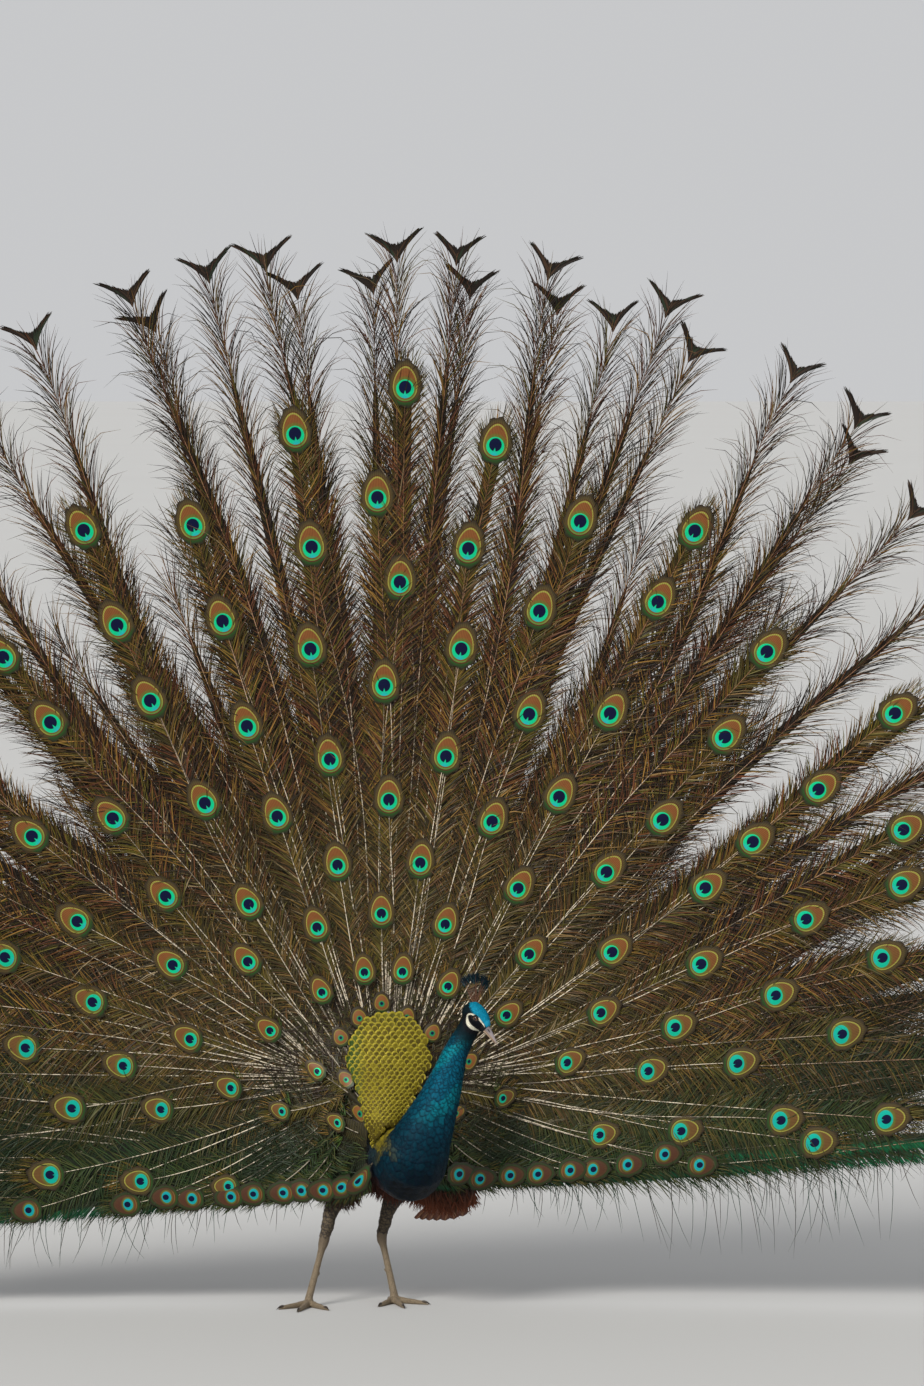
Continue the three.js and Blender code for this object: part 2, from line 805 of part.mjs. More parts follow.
const shieldClear = mantlePrism(gap);
const places = fishtailPlaces();
const middleSector = (fan.sectors - 1) / 2;
for (let sector = 0; sector < fan.sectors; sector++) {
  const from = fan.rightEdge + sector * sectorAngle;
  const to = from + sectorAngle;
  const leaf = solid(trainLeaf(from, to, fan.innerRadius, leafEdge, 3, 5));
  const rooted = mainBody(cut(leaf, [shieldClear, bodyClear, ...sideClear]));
  const tips = places
    .filter(({ angle }) => angle > from && angle < to)
    .map(({ angle, reach, layer }) => solid(fishtailFeather(angle, reach, layer)));
  const offset = sector - middleSector;
  const side = offset < 0 ? "right" : "left";
  const name = offset === 0 ? "train_middle" : "train_" + side + "_" + Math.abs(offset);
  addMesh(name, join([rooted, ...tips]), "bronze");
}
const edges = [["right", fan.rightEdge, sectorAngle], ["left", fan.leftEdge, -sectorAngle]];
for (const [name, angle, inward] of edges) {
  const ends = [angle, angle + inward].sort((a, b) => a - b);
  const leafClear = solid(trainLeaf(...ends, fan.innerRadius, leafEdge, 3, 5, gap * 2));
  const feather = cut(solid(swordFeather(angle)), [leafClear, bodyClear, ...sideClear]);
  addMesh("train_edge_" + name, mainBody(feather), "green");
}
addMesh("tail", mainBody(cut(solid(tailFan()), [bodyClear, ...sideClear])), "brown");

const box = new THREE.Box3().setFromObject(bird);
bird.position.set(-(box.min.x + box.max.x) / 2, -(box.min.y + box.max.y) / 2, 0);

export default bird;
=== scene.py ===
import math

import bpy
import numpy as np
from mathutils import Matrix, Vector
from mathutils.bvhtree import BVHTree


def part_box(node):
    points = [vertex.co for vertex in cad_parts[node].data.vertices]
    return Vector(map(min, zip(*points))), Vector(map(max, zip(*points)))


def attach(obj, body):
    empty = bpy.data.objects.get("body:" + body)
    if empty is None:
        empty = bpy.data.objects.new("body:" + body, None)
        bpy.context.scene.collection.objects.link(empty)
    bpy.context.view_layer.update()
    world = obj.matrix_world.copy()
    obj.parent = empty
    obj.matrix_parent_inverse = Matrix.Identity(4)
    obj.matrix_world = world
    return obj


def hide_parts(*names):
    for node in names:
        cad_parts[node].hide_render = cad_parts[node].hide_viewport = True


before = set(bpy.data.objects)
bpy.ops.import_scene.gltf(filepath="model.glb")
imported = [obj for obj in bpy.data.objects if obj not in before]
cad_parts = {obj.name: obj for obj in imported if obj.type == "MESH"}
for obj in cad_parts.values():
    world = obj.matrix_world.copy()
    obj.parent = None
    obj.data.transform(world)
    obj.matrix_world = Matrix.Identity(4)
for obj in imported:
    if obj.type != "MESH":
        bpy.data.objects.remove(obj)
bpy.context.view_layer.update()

# Lengths are in millimetres from the ground under the root of the train, as the solids were drawn.
# The bird faces -Y, its left is +X. place() turns them into the frame's metres.
degree = math.pi / 180
luck = np.random.default_rng(4155)


def smooth(value, low, high):
    share = np.clip((np.asarray(value, float) - low) / (high - low), 0, 1)
    return share * share * (3 - 2 * share)


def fade(value, low, high):
    return 1 - smooth(value, low, high)


def mix(a, b, share):
    return a + (b - a) * share


def unit(vectors):
    vectors = np.asarray(vectors, float)
    return vectors / np.maximum(np.linalg.norm(vectors, axis=-1, keepdims=True), 1e-9)


# the directions of a ring's points, in radians
def roundTurn(sides):
    return np.arange(sides) / sides * 2 * math.pi


# screen colour to the linear colour that the shaders work in
def paint(red, green, blue):
    share = np.array([red, green, blue], float) / 255
    return np.where(share <= 0.04045, share / 12.92, ((share + 0.055) / 1.055) ** 2.4)


# count random colours: limits tells up to which share each one goes
def pickColours(count, colours, limits):
    number = luck.uniform(0, 1, (count, 1))
    return np.select([number < limit for limit in limits.values()], [colours[key] for key in limits])


head = {
    "middle": [160, -104, 505], "gaze": [0.66, -0.42, -0.62],
    "eyeRadius": 5.6, "eyeOut": 11.6, "eyeUp": 4.5,
}
gaze = unit(head["gaze"])
headRight = unit(np.cross(gaze, [0, 0, 1]))
headUp = np.cross(headRight, gaze)


def headPoint(along, right, up):
    along, right, up = (np.asarray(value, float)[..., None] for value in (along, right, up))
    return np.array(head["middle"]) + gaze * along + headRight * right + headUp * up


# the solids were moved to the middle of the ground: the right eye tells how far
eyeMiddle = sum(np.array(corner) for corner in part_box("eye_right")) / 2 * 1000
shift = eyeMiddle - headPoint(0, head["eyeOut"], head["eyeUp"])


def place(points):
    return (np.asarray(points, float) + shift) / 1000


# the points of a solid, in metres, and its triangles
def solidMesh(name):
    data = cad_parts[name].data
    data.calc_loop_triangles()
    points = np.array([vertex.co for vertex in data.vertices])
    return points, np.array([triangle.vertices for triangle in data.loop_triangles])


# faces of count grids of rows x columns points, laid one after the other
def gridFaces(count, rows, columns, wrap):
    row = np.arange(rows - 1)[:, None] * columns
    column = np.arange(columns if wrap else columns - 1)[None, :]
    following = (column + 1) % columns
    quads = np.stack([row + column, row + following, row + columns + following, row + columns + column], -1)
    start = np.arange(count)[:, None, None] * rows * columns
    return (quads.reshape(-1, 4)[None] + start).reshape(-1, 4)


# values are kept on the points: the tint is a colour, the others are plain numbers
def addMesh(name, points, faces, material, slot, replaced=(), bake=None, **values):
    corners, count = np.asarray(faces, np.int32).ravel(), points[..., 0].size
    mesh = bpy.data.meshes.new(name)
    mesh.vertices.add(count)
    mesh.vertices.foreach_set("co", place(points).astype(np.float32).ravel())
    mesh.loops.add(len(corners))
    mesh.loops.foreach_set("vertex_index", corners)
    mesh.polygons.add(len(faces))
    mesh.polygons.foreach_set("loop_start", np.arange(len(faces), dtype=np.int32) * faces.shape[1])
    mesh.update(calc_edges=True)
    mesh.polygons.foreach_set("use_smooth", np.full(len(faces), True))
    if bake is not None:
        flat = np.asarray(bake, np.float32).reshape(-1, 2)
        mesh.uv_layers.new(name="OFBake").data.foreach_set("uv", flat[corners].ravel())
    for key, value in values.items():
        if key == "tint":
            colour = np.ones((*points.shape[:-1], 4), np.float32)
            colour[..., :3] = value
            mesh.attributes.new(key, "FLOAT_COLOR", "POINT").data.foreach_set("color", colour.ravel())
        else:
            value = np.broadcast_to(value, points.shape[:-1]).astype(np.float32)
            mesh.attributes.new(key, "FLOAT", "POINT").data.foreach_set("value", value.ravel())
    mesh.materials.append(material)
    piece = bpy.data.objects.new(name, mesh)
    bpy.context.scene.collection.objects.link(piece)
    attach(piece, "root")
    if len(replaced):
        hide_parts(*replaced)
    print("   ", name, count, "points,", len(faces), "faces")


# grids of points: [grid, row, column]
def addGrids(name, points, *others, wrap=False, **values):
    addMesh(name, points, gridFaces(*points.shape[:3], wrap), *others, **values)


# sets a socket to a value or a colour, or links another socket to it
def feed(tree, socket, value):
    if isinstance(value, bpy.types.NodeSocket):
        tree.links.new(value, socket)
    else:
        socket.default_value = (*value, 1) if socket.type == "RGBA" else value


def addNode(tree, kind, inputs=(), **settings):
    node = tree.nodes.new(kind)
    for key, value in settings.items():
        setattr(node, key, value)
    for key, value in (inputs.items() if isinstance(inputs, dict) else enumerate(inputs)):
        feed(tree, node.inputs[key], value)
    return node


def maths(tree, operation, *inputs):
    return addNode(tree, "ShaderNodeMath", inputs, operation=operation).outputs[0]


def plus(tree, a, b):
    return maths(tree, "ADD", a, b)


def minus(tree, a, b):
    return maths(tree, "SUBTRACT", a, b)


def times(tree, first, *others):
    for other in others:
        first = maths(tree, "MULTIPLY", first, other)
    return first


def between(tree, value, low, high, start=0.0, end=1.0):
    settings = {"interpolation_type": "SMOOTHSTEP"}
    return addNode(tree, "ShaderNodeMapRange", [value, low, high, start, end], **settings).outputs[0]


# 1 from the first limit to the second, with soft ends
def band(tree, value, start, end):
    return times(tree, between(tree, value, *start), between(tree, value, *end))


def blend(tree, factor, first, second):
    return addNode(tree, "ShaderNodeMix", {0: factor, 6: first, 7: second}, data_type="RGBA").outputs[2]


def noise(tree, scale, detail, **inputs):
    return addNode(tree, "ShaderNodeTexNoise", {"Scale": scale, "Detail": detail, **inputs}).outputs["Fac"]


def readValue(tree, name):
    return addNode(tree, "ShaderNodeAttribute", attribute_name=name).outputs["Fac"]


def readColour(tree, name):
    return addNode(tree, "ShaderNodeAttribute", attribute_name=name).outputs["Color"]


# a node group from names with their first values, a colour where there are three numbers
def newGroup(name, inputs, outputs):
    group = bpy.data.node_groups.new(name, "ShaderNodeTree")
    kinds = {"value": "NodeSocketFloat", "colour": "NodeSocketColor"}
    for key, first in inputs.items():
        kind = "colour" if np.ndim(first) else "value"
        socket = group.interface.new_socket(key, in_out="INPUT", socket_type=kinds[kind])
        socket.default_value = (*first, 1) if np.ndim(first) else first
    for key, kind in outputs.items():
        group.interface.new_socket(key, in_out="OUTPUT", socket_type=kinds[kind])
    return group, group.nodes.new("NodeGroupInput").outputs, group.nodes.new("NodeGroupOutput").inputs


def useGroup(tree, group, **inputs):
    node = tree.nodes.new("ShaderNodeGroup")
    node.node_tree = group
    for key, value in inputs.items():
        feed(tree, node.inputs[key], value)
    return node.outputs


# fine lines across a vane: across runs from the shaft to the edge, along down the feather, in mm
def makeBarbLines():
    group, given, result = newGroup(
        "barbLines", {"across": 0.0, "along": 0.0, "spacing": 2.0, "slant": 0.9}, {"line": "value"},
    )
    down = minus(group, given["along"], times(group, given["across"], given["slant"]))
    down = plus(group, down, times(group, noise(group, 90.0, 2.0), 1.6))
    wave = maths(group, "SINE", times(group, maths(group, "DIVIDE", down, given["spacing"]), 2 * math.pi))
    group.links.new(between(group, wave, -0.9, 0.9), result["line"])
    return group


# uneven brightness of a plumage
def makeMottle():
    group, given, result = newGroup(
        "mottle", {"colour": (0.5, 0.5, 0.5), "scale": 60.0, "amount": 0.4}, {"colour": "colour"},
    )
    lift = times(group, minus(group, noise(group, given["scale"], 4.0), 0.5), given["amount"])
    value = plus(group, 1.0, times(group, lift, 2.0))
    changed = addNode(group, "ShaderNodeHueSaturation", {"Value": value, "Color": given["colour"]})
    group.links.new(changed.outputs[0], result["colour"])
    return group


barbLines = makeBarbLines()
mottle = makeMottle()


def newMaterial(name, **values):
    material = bpy.data.materials.new(name)
    material.use_nodes = True
    shader = material.node_tree.nodes["Principled BSDF"]
    # feathers are duller than the shader's own default
    for key, value in {"Specular IOR Level": 0.22, **values}.items():
        shader.inputs[key].default_value = value
    return material, material.node_tree, shader


def mottled(tree, colour, scale, amount):
    return useGroup(tree, mottle, colour=colour, scale=scale, amount=amount)["colour"]


def addBump(tree, shader, height, strength, distance, isSunk=False):
    inputs = {"Strength": strength, "Distance": distance, "Height": height}
    bump = addNode(tree, "ShaderNodeBump", inputs, invert=isSunk)
    tree.links.new(bump.outputs[0], shader.inputs["Normal"])


# colour from the points' own tint, broken up by the mottle
def tintMaterial(name, amount, scale, **values):
    material, tree, shader = newMaterial(name, **values)
    tree.links.new(mottled(tree, readColour(tree, "tint"), scale, amount), shader.inputs["Base Color"])
    return material


# a vane: tint, coloured bands along its edge, lines that darken between the barbs, and a shallow relief
# edges: where a band starts and is full, its amount and colour, and where it ends again
def vaneMaterial(name, lines, gap, edges=(), tint=None, mottling=(90.0, 0.3), relief=(0.5, 0.0004), **values):
    material, tree, shader = newMaterial(name, **values)
    tint = readColour(tree, "tint") if tint is None else tint(tree)
    colour = mottled(tree, tint, *mottling)
    spacing, slant = lines
    across, along = readValue(tree, "across"), readValue(tree, "along")
    line = useGroup(tree, barbLines, across=across, along=along, spacing=spacing, slant=slant)["line"]
    for start, amount, tone, end in edges:
        mask = between(tree, readValue(tree, "edge"), *start, 0.0, amount)
        if end:
            mask = times(tree, mask, between(tree, readValue(tree, "edge"), *end))
        colour = blend(tree, mask, colour, tone)
    depth, dark = gap
    tree.links.new(blend(tree, times(tree, line, depth), colour, dark), shader.inputs["Base Color"])
    addBump(tree, shader, line, *relief, isSunk=True)
    return material


# the bowl of the raised train
fan = {
    "rootHeight": 313, "rightEdge": -97, "leftEdge": 91, "span": 1548, "setBack": 40,
    "rootForward": 90, "rootSpan": 110, "lean": 100, "cup": 130,
    "drop": 110, "dropStart": 30, "dropFrom": 50, "rightDropEnd": 1500, "leftDropEnd": 1100,
    "sideLoss": 0.085,
}


# distance from the root and angle from straight up, in degrees, to a point of the bowl
def fanPoint(radius, angle, forward=0.0):
    radius, angle, forward = np.broadcast_arrays(*(np.asarray(v, float) for v in (radius, angle, forward)))
    edge = np.where(angle < 0, -fan["rightEdge"], fan["leftEdge"])
    dropEnd = np.where(angle < 0, fan["rightDropEnd"], fan["leftDropEnd"])
    low = smooth(abs(angle), fan["dropFrom"], edge)
    drop = fan["drop"] * low * (1 - np.exp(-radius / fan["dropStart"])) * (1 - radius / dropEnd)
    pull = fan["rootForward"] * np.exp(-((radius / fan["rootSpan"]) ** 2))
    sine, cosine = np.sin(angle * degree), np.cos(angle * degree)
    bowl = (fan["lean"] + fan["cup"] * sine**2) * (radius / fan["span"]) ** 2
    back = fan["setBack"] - pull - bowl - forward
    return np.stack([radius * sine, back, fan["rootHeight"] + radius * cosine - drop], -1)


# the point with the direction outwards along the feather, sideways, and towards the front
def fanFrame(radius, angle, forward=0.0):
    point = fanPoint(radius, angle, forward)
    out = unit(fanPoint(radius + 2.0, angle, forward) - fanPoint(radius - 2.0, angle, forward))
    around = unit(fanPoint(radius, angle + 0.2, forward) - fanPoint(radius, angle - 0.2, forward))
    front = unit(np.cross(around, out))
    front = np.where(front[..., 1:2] > 0, -front, front)
    return point, out, unit(np.cross(out, front)), front


# places in the bake map
def sheet(x, y):
    return np.stack(np.broadcast_arrays(x, y), -1)


# flat layout of the bowl for the bake: the fan opened out round its root
def fanSheet(radius, angle):
    share = radius / 3300
    return sheet(0.5 + share * np.sin(angle * degree), 0.24 + 0.9 * share * np.cos(angle * degree))


# patches of the bake map: each one small, at the place of its root
def patches(roots, rows, columns, size=0.003):
    across = (np.arange(columns) / (columns - 1) - 0.5) * size
    down = np.arange(rows) / (rows - 1) * size
    patch = np.stack(np.meshgrid(across, down), -1)
    return np.clip(roots[:, None, None, :] + patch[None], 0.001, 0.999)


# the feathers' eyes, at a radius and an angle each
train = {
    "evenRings": [366, 569, 743, 929, 1106], "evenAngles": [0, 19.4, 41.3, 64, 85],
    "oddRings": [466, 659, 841, 1020, 1194], "oddAngles": [9.8, 30.3, 53, 75.5],
    "closing": 2.4, "topEye": [1306, 1.2],
    # the lower and nearer ones, each with its own place
    "near": [
        [278, -94], [430, -92.8], [586, -92], [554, -81.5], [402, -78.5], [650, -74.8], [480, -73],
        [194, -71], [290, -70], [94, -67], [562, -65.5], [730, -65], [382, -64], [646, -56.2], [466, -53],
        [154, -52], [262, -51], [554, -43.8], [374, -40.2], [454, -31.8], [258, -25.8], [366, -19.2],
        [462, -10.5], [270, -8], [370, -1.2], [270, 6.2], [462, 7.5], [366, 16.5], [266, 24.2], [474, 29.2],
        [390, 40], [586, 41], [286, 47.8], [498, 52.5], [694, 53.2], [430, 61], [622, 62], [818, 63.2],
        [990, 64.5], [346, 66.8], [222, 68.2], [542, 68.8], [722, 70], [914, 70.5], [478, 73.8], [630, 76.8],
        [814, 77], [378, 82.8], [518, 85], [690, 85.8], [870, 87.5], [746, 89.4],
    ],
    "lowRow": [
        [50, -96.5], [80, -95.5], [112, -96.2], [150, -96], [182, -97], [234, -97], [274, -97.6],
        [342, -97.4], [386, -96.6], [454, -97.8], [626, -97.6], [130, 86.2], [166, 90.4], [218, 90.2],
        [266, 90.7], [322, 90.3], [362, 90.6], [422, 90.2], [486, 88.8], [546, 91.4],
    ],
    "shieldRow": [
        [54, -57.5], [106, -40.8], [170, -27.5], [190, -14], [210, -2], [190, 11.2], [178, 27], [182, 52.8],
        [134, 66.5],
    ],
    # the rings of regular ones are only kept above this height or outside these sides
    "nearHeight": 778, "nearSides": [-690, 935],
    "angleJitter": 0.9, "radiusJitter": 11, "jitterFrom": 250,
    "layer": 9.0, "lift": 3.0, "shieldLift": -10,
}


def sideLoss(angle, loss):
    return 1 - loss * np.sin(angle * degree) ** 2


def eyeTable():
    rows = []
    for rings, angles in ((train["evenRings"], train["evenAngles"]), (train["oddRings"], train["oddAngles"])):
        for ring in rings:
            shut = train["closing"] * (ring - 366) / 740
            for angle in angles:
                for side in (-1, 1) if angle else (1,):
                    rows.append([ring, side * max(angle - shut, 0), 0])
    rows.append([*train["topEye"], 0])
    table = np.array(rows, float)
    table[:, 0] += luck.normal(0, train["radiusJitter"], len(table)) * (table[:, 0] > train["jitterFrom"])
    table[:, 1] += luck.normal(0, train["angleJitter"], len(table))
    table[:, 0] *= sideLoss(table[:, 1], fan["sideLoss"])
    spot = fanPoint(table[:, 0], table[:, 1])
    left, right = train["nearSides"]
    table = table[(spot[:, 2] > train["nearHeight"]) | (spot[:, 0] < left) | (spot[:, 0] > right)]
    own = [[*spot, kind] for kind, name in enumerate(("near", "lowRow", "shieldRow")) for spot in train[name]]
    return np.concatenate([table, own])


eyes = eyeTable()
eyeIsLow, eyeIsRing = eyes[:, 2] == 1, eyes[:, 2] == 2
eyeSize = np.where(
    eyeIsLow, 0.78 + 0.06 * smooth(eyes[:, 0], 200, 700),
    np.interp(eyes[:, 0], [130, 232, 265, 370, 500, 850], [0.56, 0.62, 0.76, 0.88, 0.97, 1.06]),
)
# short feathers lie in front of the long ones
eyeLift = train["lift"] + train["layer"] * (1 - eyes[:, 0] / 1310) + luck.uniform(-0.8, 0.8, len(eyes))
eyeLift += train["shieldLift"] * eyeIsRing

# feathers with a forked tip, round the rim
fishtail = {
    "longReach": 1535, "shortReach": 1480,
    "longAngles": [-24, -17, -11.7, -7.9, 0.8, 4.7, 10.8, 19, 28.4, 33.7],
    "shortAngles": [-16, -6, -0.8, 5.8, 11.9, 15.9, 21.5, 34.8],
    "sideStep": 5.7, "sideStart": [-29.5, 40.5], "sideEnd": [-84, 79],
    "sideLoss": 0.09, "layer": 2.4,
}


def forkTable():
    rows = [[angle, fishtail["longReach"], 1] for angle in fishtail["longAngles"]]
    rows += [[angle, fishtail["shortReach"], -1] for angle in fishtail["shortAngles"]]
    for start, end in zip(fishtail["sideStart"], fishtail["sideEnd"]):
        for n in range(int((abs(end) - abs(start)) / fishtail["sideStep"]) + 1):
            reach = fishtail["longReach"] if n % 2 else fishtail["shortReach"]
            rows.append([start + math.copysign(n * fishtail["sideStep"], end), reach, 1 if n % 2 else -1])
    table = np.array(rows, float)
    table[:, 1] *= sideLoss(table[:, 0], fishtail["sideLoss"])
    return table


forks = forkTable()
# feathers without an eye, between the others
plain = {
    "rows": [[-95, 90, 86], [-96, -76, 13], [74, 90, 12]], "jitter": 0.6,
    "reach": [700, 1200], "lowReach": [900, 1290], "lowFrom": 62,
}
plainAngle = np.concatenate([np.linspace(*row) for row in plain["rows"]])
plainCount = len(plainAngle)
plainAngle += luck.normal(0, plain["jitter"], plainCount)
plainReach = np.where(
    abs(plainAngle) > plain["lowFrom"],
    luck.uniform(*plain["lowReach"], plainCount), luck.uniform(*plain["reach"], plainCount),
) * sideLoss(plainAngle, fan["sideLoss"])

# every long feather: those with eyes, those with forks, the plain ones
featherReach = np.concatenate([eyes[:, 0], forks[:, 1] - 30, plainReach])
featherAngle = np.concatenate([eyes[:, 1], forks[:, 0], plainAngle])
featherLift = np.concatenate([eyeLift, forks[:, 2] * fishtail["layer"], luck.uniform(-3, 2, plainCount)])
featherSize = np.concatenate([eyeSize, np.ones(len(forks) + plainCount)])
featherCount = len(featherReach)
featherIsFork = np.arange(featherCount) >= len(eyes)
featherIsLow = np.concatenate([eyeIsLow, np.zeros(len(forks) + plainCount, bool)])
# each shaft wanders a little to one side on its way out
featherBend = np.clip(luck.normal(0, 1.9, featherCount), -3.6, 3.6) * ~featherIsLow

# feathers near the ground leave the back higher up and come down to their ends
turned = {
    "from": 45, "to": 80, "side": 32, "height": 392, "shortest": 140, "step": 10,
    "points": 80, "rounds": 70, "start": [34, 76],
}


# by how much each feather is turned from straight out, at every step of the radius
def turnedWays():
    share = np.linspace(0, 1, turned["points"])[None]
    end = fanPoint(featherReach, featherAngle)
    power = np.interp(featherReach, [200, 700], [1.8, 1.05])[:, None]
    x = mix(np.sign(featherAngle)[:, None] * turned["side"], end[:, :1], share)
    z = mix(turned["height"], end[:, 2:], 1 - (1 - share) ** power)
    up = z - fan["rootHeight"]
    radius, angle = np.hypot(x, up), np.arctan2(x, up) / degree
    # the bowl drops near its sides, so radius and angle are found step by step
    for _ in range(turned["rounds"]):
        high = z - fanPoint(radius, angle)[..., 2] + radius * np.cos(angle * degree)
        radius = mix(radius, np.hypot(x, high), 0.3)
        angle = mix(angle, np.arctan2(x, high) / degree, 0.3)
    grid = np.arange(0, 1700, turned["step"])
    turn = np.array([np.interp(grid, np.maximum.accumulate(r), a) for r, a in zip(radius, angle)])
    amount = smooth(abs(featherAngle), turned["from"], turned["to"]) * (featherReach > turned["shortest"])
    # most of the plain ones keep straight, so that the edge stays full
    amount[-plainCount:] *= np.arange(plainCount) % 3 == 0
    return (turn - featherAngle[:, None]) * amount[:, None], amount


featherTurn, featherTurned = turnedWays()
featherStart = mix(*turned["start"], featherTurned)
print("train:", len(eyes), "eyes,", len(forks), "forks")


def featherAngleAt(index, radius):
    share = np.clip(radius / featherReach[index], 0, 1)
    at = np.clip(radius / turned["step"], 0, featherTurn.shape[1] - 2)
    low = np.floor(at).astype(int)
    turn = mix(featherTurn[index, low], featherTurn[index, low + 1], at - low)
    return featherAngle[index] + turn + featherBend[index] * np.sin(share * math.pi) ** 2


# like fanFrame, along the feather's own way instead of straight out
def featherFrame(index, radius, forward=0.0):
    point, _, _, front = fanFrame(radius, featherAngleAt(index, radius), forward)
    ahead = fanPoint(radius + 2, featherAngleAt(index, radius + 2), forward)
    out = unit(ahead - fanPoint(radius - 2, featherAngleAt(index, radius - 2), forward))
    return point, out, unit(np.cross(out, front)), front


# the layers close up behind the shield, near the root
def featherLiftAt(index, radius):
    apart = smooth(radius, 190, 330)
    return featherLift[index] * np.where(featherReach[index] < 240, 1.0, apart) - 2.5 * (1 - apart)


# place in the bake map of points round or across a feather: one strip for each
def stripSheet(index, across, radius):
    return sheet((index[..., None] + across) / featherCount, radius / 1620)


vane = {
    "rows": 34, "halfWidth": 22, "rootWidth": 5, "fullFrom": 380, "outerWidth": 11,
    "edgeLift": -3.0, "edgeOut": 12, "overEye": 30, "forkEnd": 1330,
    "lines": [3.2, 0.85], "gap": [0.85, (0.006, 0.005, 0.003)],
    "dark": paint(32, 24, 14), "inner": paint(48, 44, 22),
    "olive": paint(58, 51, 17), "green": paint(17, 42, 20),
}


def makeVanes():
    across = np.array([-1.0, -0.55, 0.0, 0.55, 1.0])
    index = np.arange(featherCount)[:, None]
    end = featherReach + vane["overEye"] * featherSize
    end = np.where(featherIsFork, vane["forkEnd"] * featherReach / 1500, end)
    radius = featherStart[:, None] + (end - featherStart)[:, None] * np.linspace(0, 1, vane["rows"])[None]
    # the ones that come down from the back stay narrow for longer
    grown = np.maximum(radius - 110 * featherTurned[:, None], 0)
    narrow = vane["rootWidth"] * (1 - 0.5 * featherTurned[:, None])
    width = mix(narrow, vane["halfWidth"] * featherSize[:, None], smooth(grown, 60, vane["fullFrom"]))
    outerWidth = vane["outerWidth"] * featherSize * mix(1, 2.1, smooth(abs(featherAngle), 66, 80))
    width = mix(width, outerWidth[:, None], smooth(radius, 520, 900))
    left = (end[:, None] - radius) / np.where(featherIsFork, 640, 46)[:, None]
    width = width * np.sqrt(1 - (1 - np.clip(left, 0, 1)) ** 2) + 0.4
    width = width[..., None] * across
    out = radius[..., None] + vane["edgeOut"] * across**2 * smooth(radius, 60, 300)[..., None]
    angle = featherAngleAt(index, radius)[..., None] + width / np.maximum(out, 40) / degree
    lift = featherLiftAt(index, radius)[..., None] + vane["edgeLift"] * across**2 - 0.6
    tint = mix(vane["inner"], vane["dark"], smooth(out, 260, 620)[..., None])
    tint = mix(vane["olive"], tint, smooth(end[:, None, None] - out, 20, 130)[..., None])
    lowShare = np.maximum(smooth(abs(angle), 68, 92), featherIsLow[:, None, None])[..., None]
    tint = mix(tint, vane["green"], 0.75 * lowShare) * luck.uniform(0.75, 1.25, (featherCount, 1, 1, 1))
    material = vaneMaterial(
        "trainVane", vane["lines"], vane["gap"], mottling=(40.0, 0.4), relief=(0.8, 0.0006), Roughness=0.55,
    )
    sectors = [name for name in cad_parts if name.startswith("train_") and "edge" not in name]
    addGrids(
        "train_vanes", fanPoint(out, angle, lift), material, "bronze", sectors,
        stripSheet(index, 0.5 + 0.4 * across, out), tint=tint, across=np.abs(width), along=out,
    )


# a round stem along each path of points
def tubes(path, side, front, girth, sides):
    turn = roundTurn(sides)[:, None]
    ring = side[..., None, :] * np.cos(turn) + front[..., None, :] * np.sin(turn)
    return path[..., None, :] + ring * np.asarray(girth)[..., None, None]


shaft = {
    "rows": 30, "sides": 4, "keelRows": 18, "keelSides": 3, "girth": [1.15, 0.5], "keelGirth": [1.1, 0.4],
    "front": 4.0, "keelBack": -2.0, "beforeEye": 16, "pastFork": 8,
    "pale": paint(218, 205, 182), "tan": paint(146, 106, 78), "brown": paint(66, 44, 32),
}


# dark barbs cross in front of the pale shafts
def makeDashes():
    inputs = {"colour": (0.5, 0.5, 0.5), "along": 0.0, "feather": 0.0, "dark": paint(48, 36, 24)}
    group, given, result = newGroup("dashes", inputs, {"colour": "colour"})
    where = addNode(group, "ShaderNodeCombineXYZ", {
        "X": times(group, given["along"], 0.24), "Y": times(group, given["feather"], 7.31),
    }).outputs[0]
    slow = between(group, noise(group, 0.07, 0.0, Vector=where), 0.3, 0.7, 0.12, -0.12)
    cover = plus(group, noise(group, 1.0, 1.0, Vector=where), slow)
    covered = between(group, cover, 0.57, 0.43, 0.0, 0.74)
    group.links.new(blend(group, covered, given["colour"], given["dark"]), result["colour"])
    return group


dashes = makeDashes()


def shaftMaterial():
    material, tree, shader = newMaterial("trainShaft", Roughness=0.4)
    along, feather = readValue(tree, "along"), readValue(tree, "across")
    dashed = useGroup(tree, dashes, colour=readColour(tree, "tint"), along=along, feather=feather)
    tree.links.new(dashed["colour"], shader.inputs["Base Color"])
    return material


# most shafts come out from under the short feathers further up
def shaftStarts(end):
    isShort = luck.uniform(0, 1, featherCount) < 0.55
    start = np.where(isShort, luck.uniform(110, 230, featherCount), luck.uniform(200, 440, featherCount))
    isLow, isLowest = abs(featherAngle) > 52, abs(featherAngle) > 78
    start = np.where(isLow, np.where(featherTurned < 0.1, 420, luck.uniform(90, 360, featherCount)), start)
    start = np.where(isLowest & (featherTurned > 0.1), luck.uniform(80, 190, featherCount), start)
    return np.minimum(np.maximum(np.minimum(start, end * 0.6), featherStart * 1.25), end - 15)


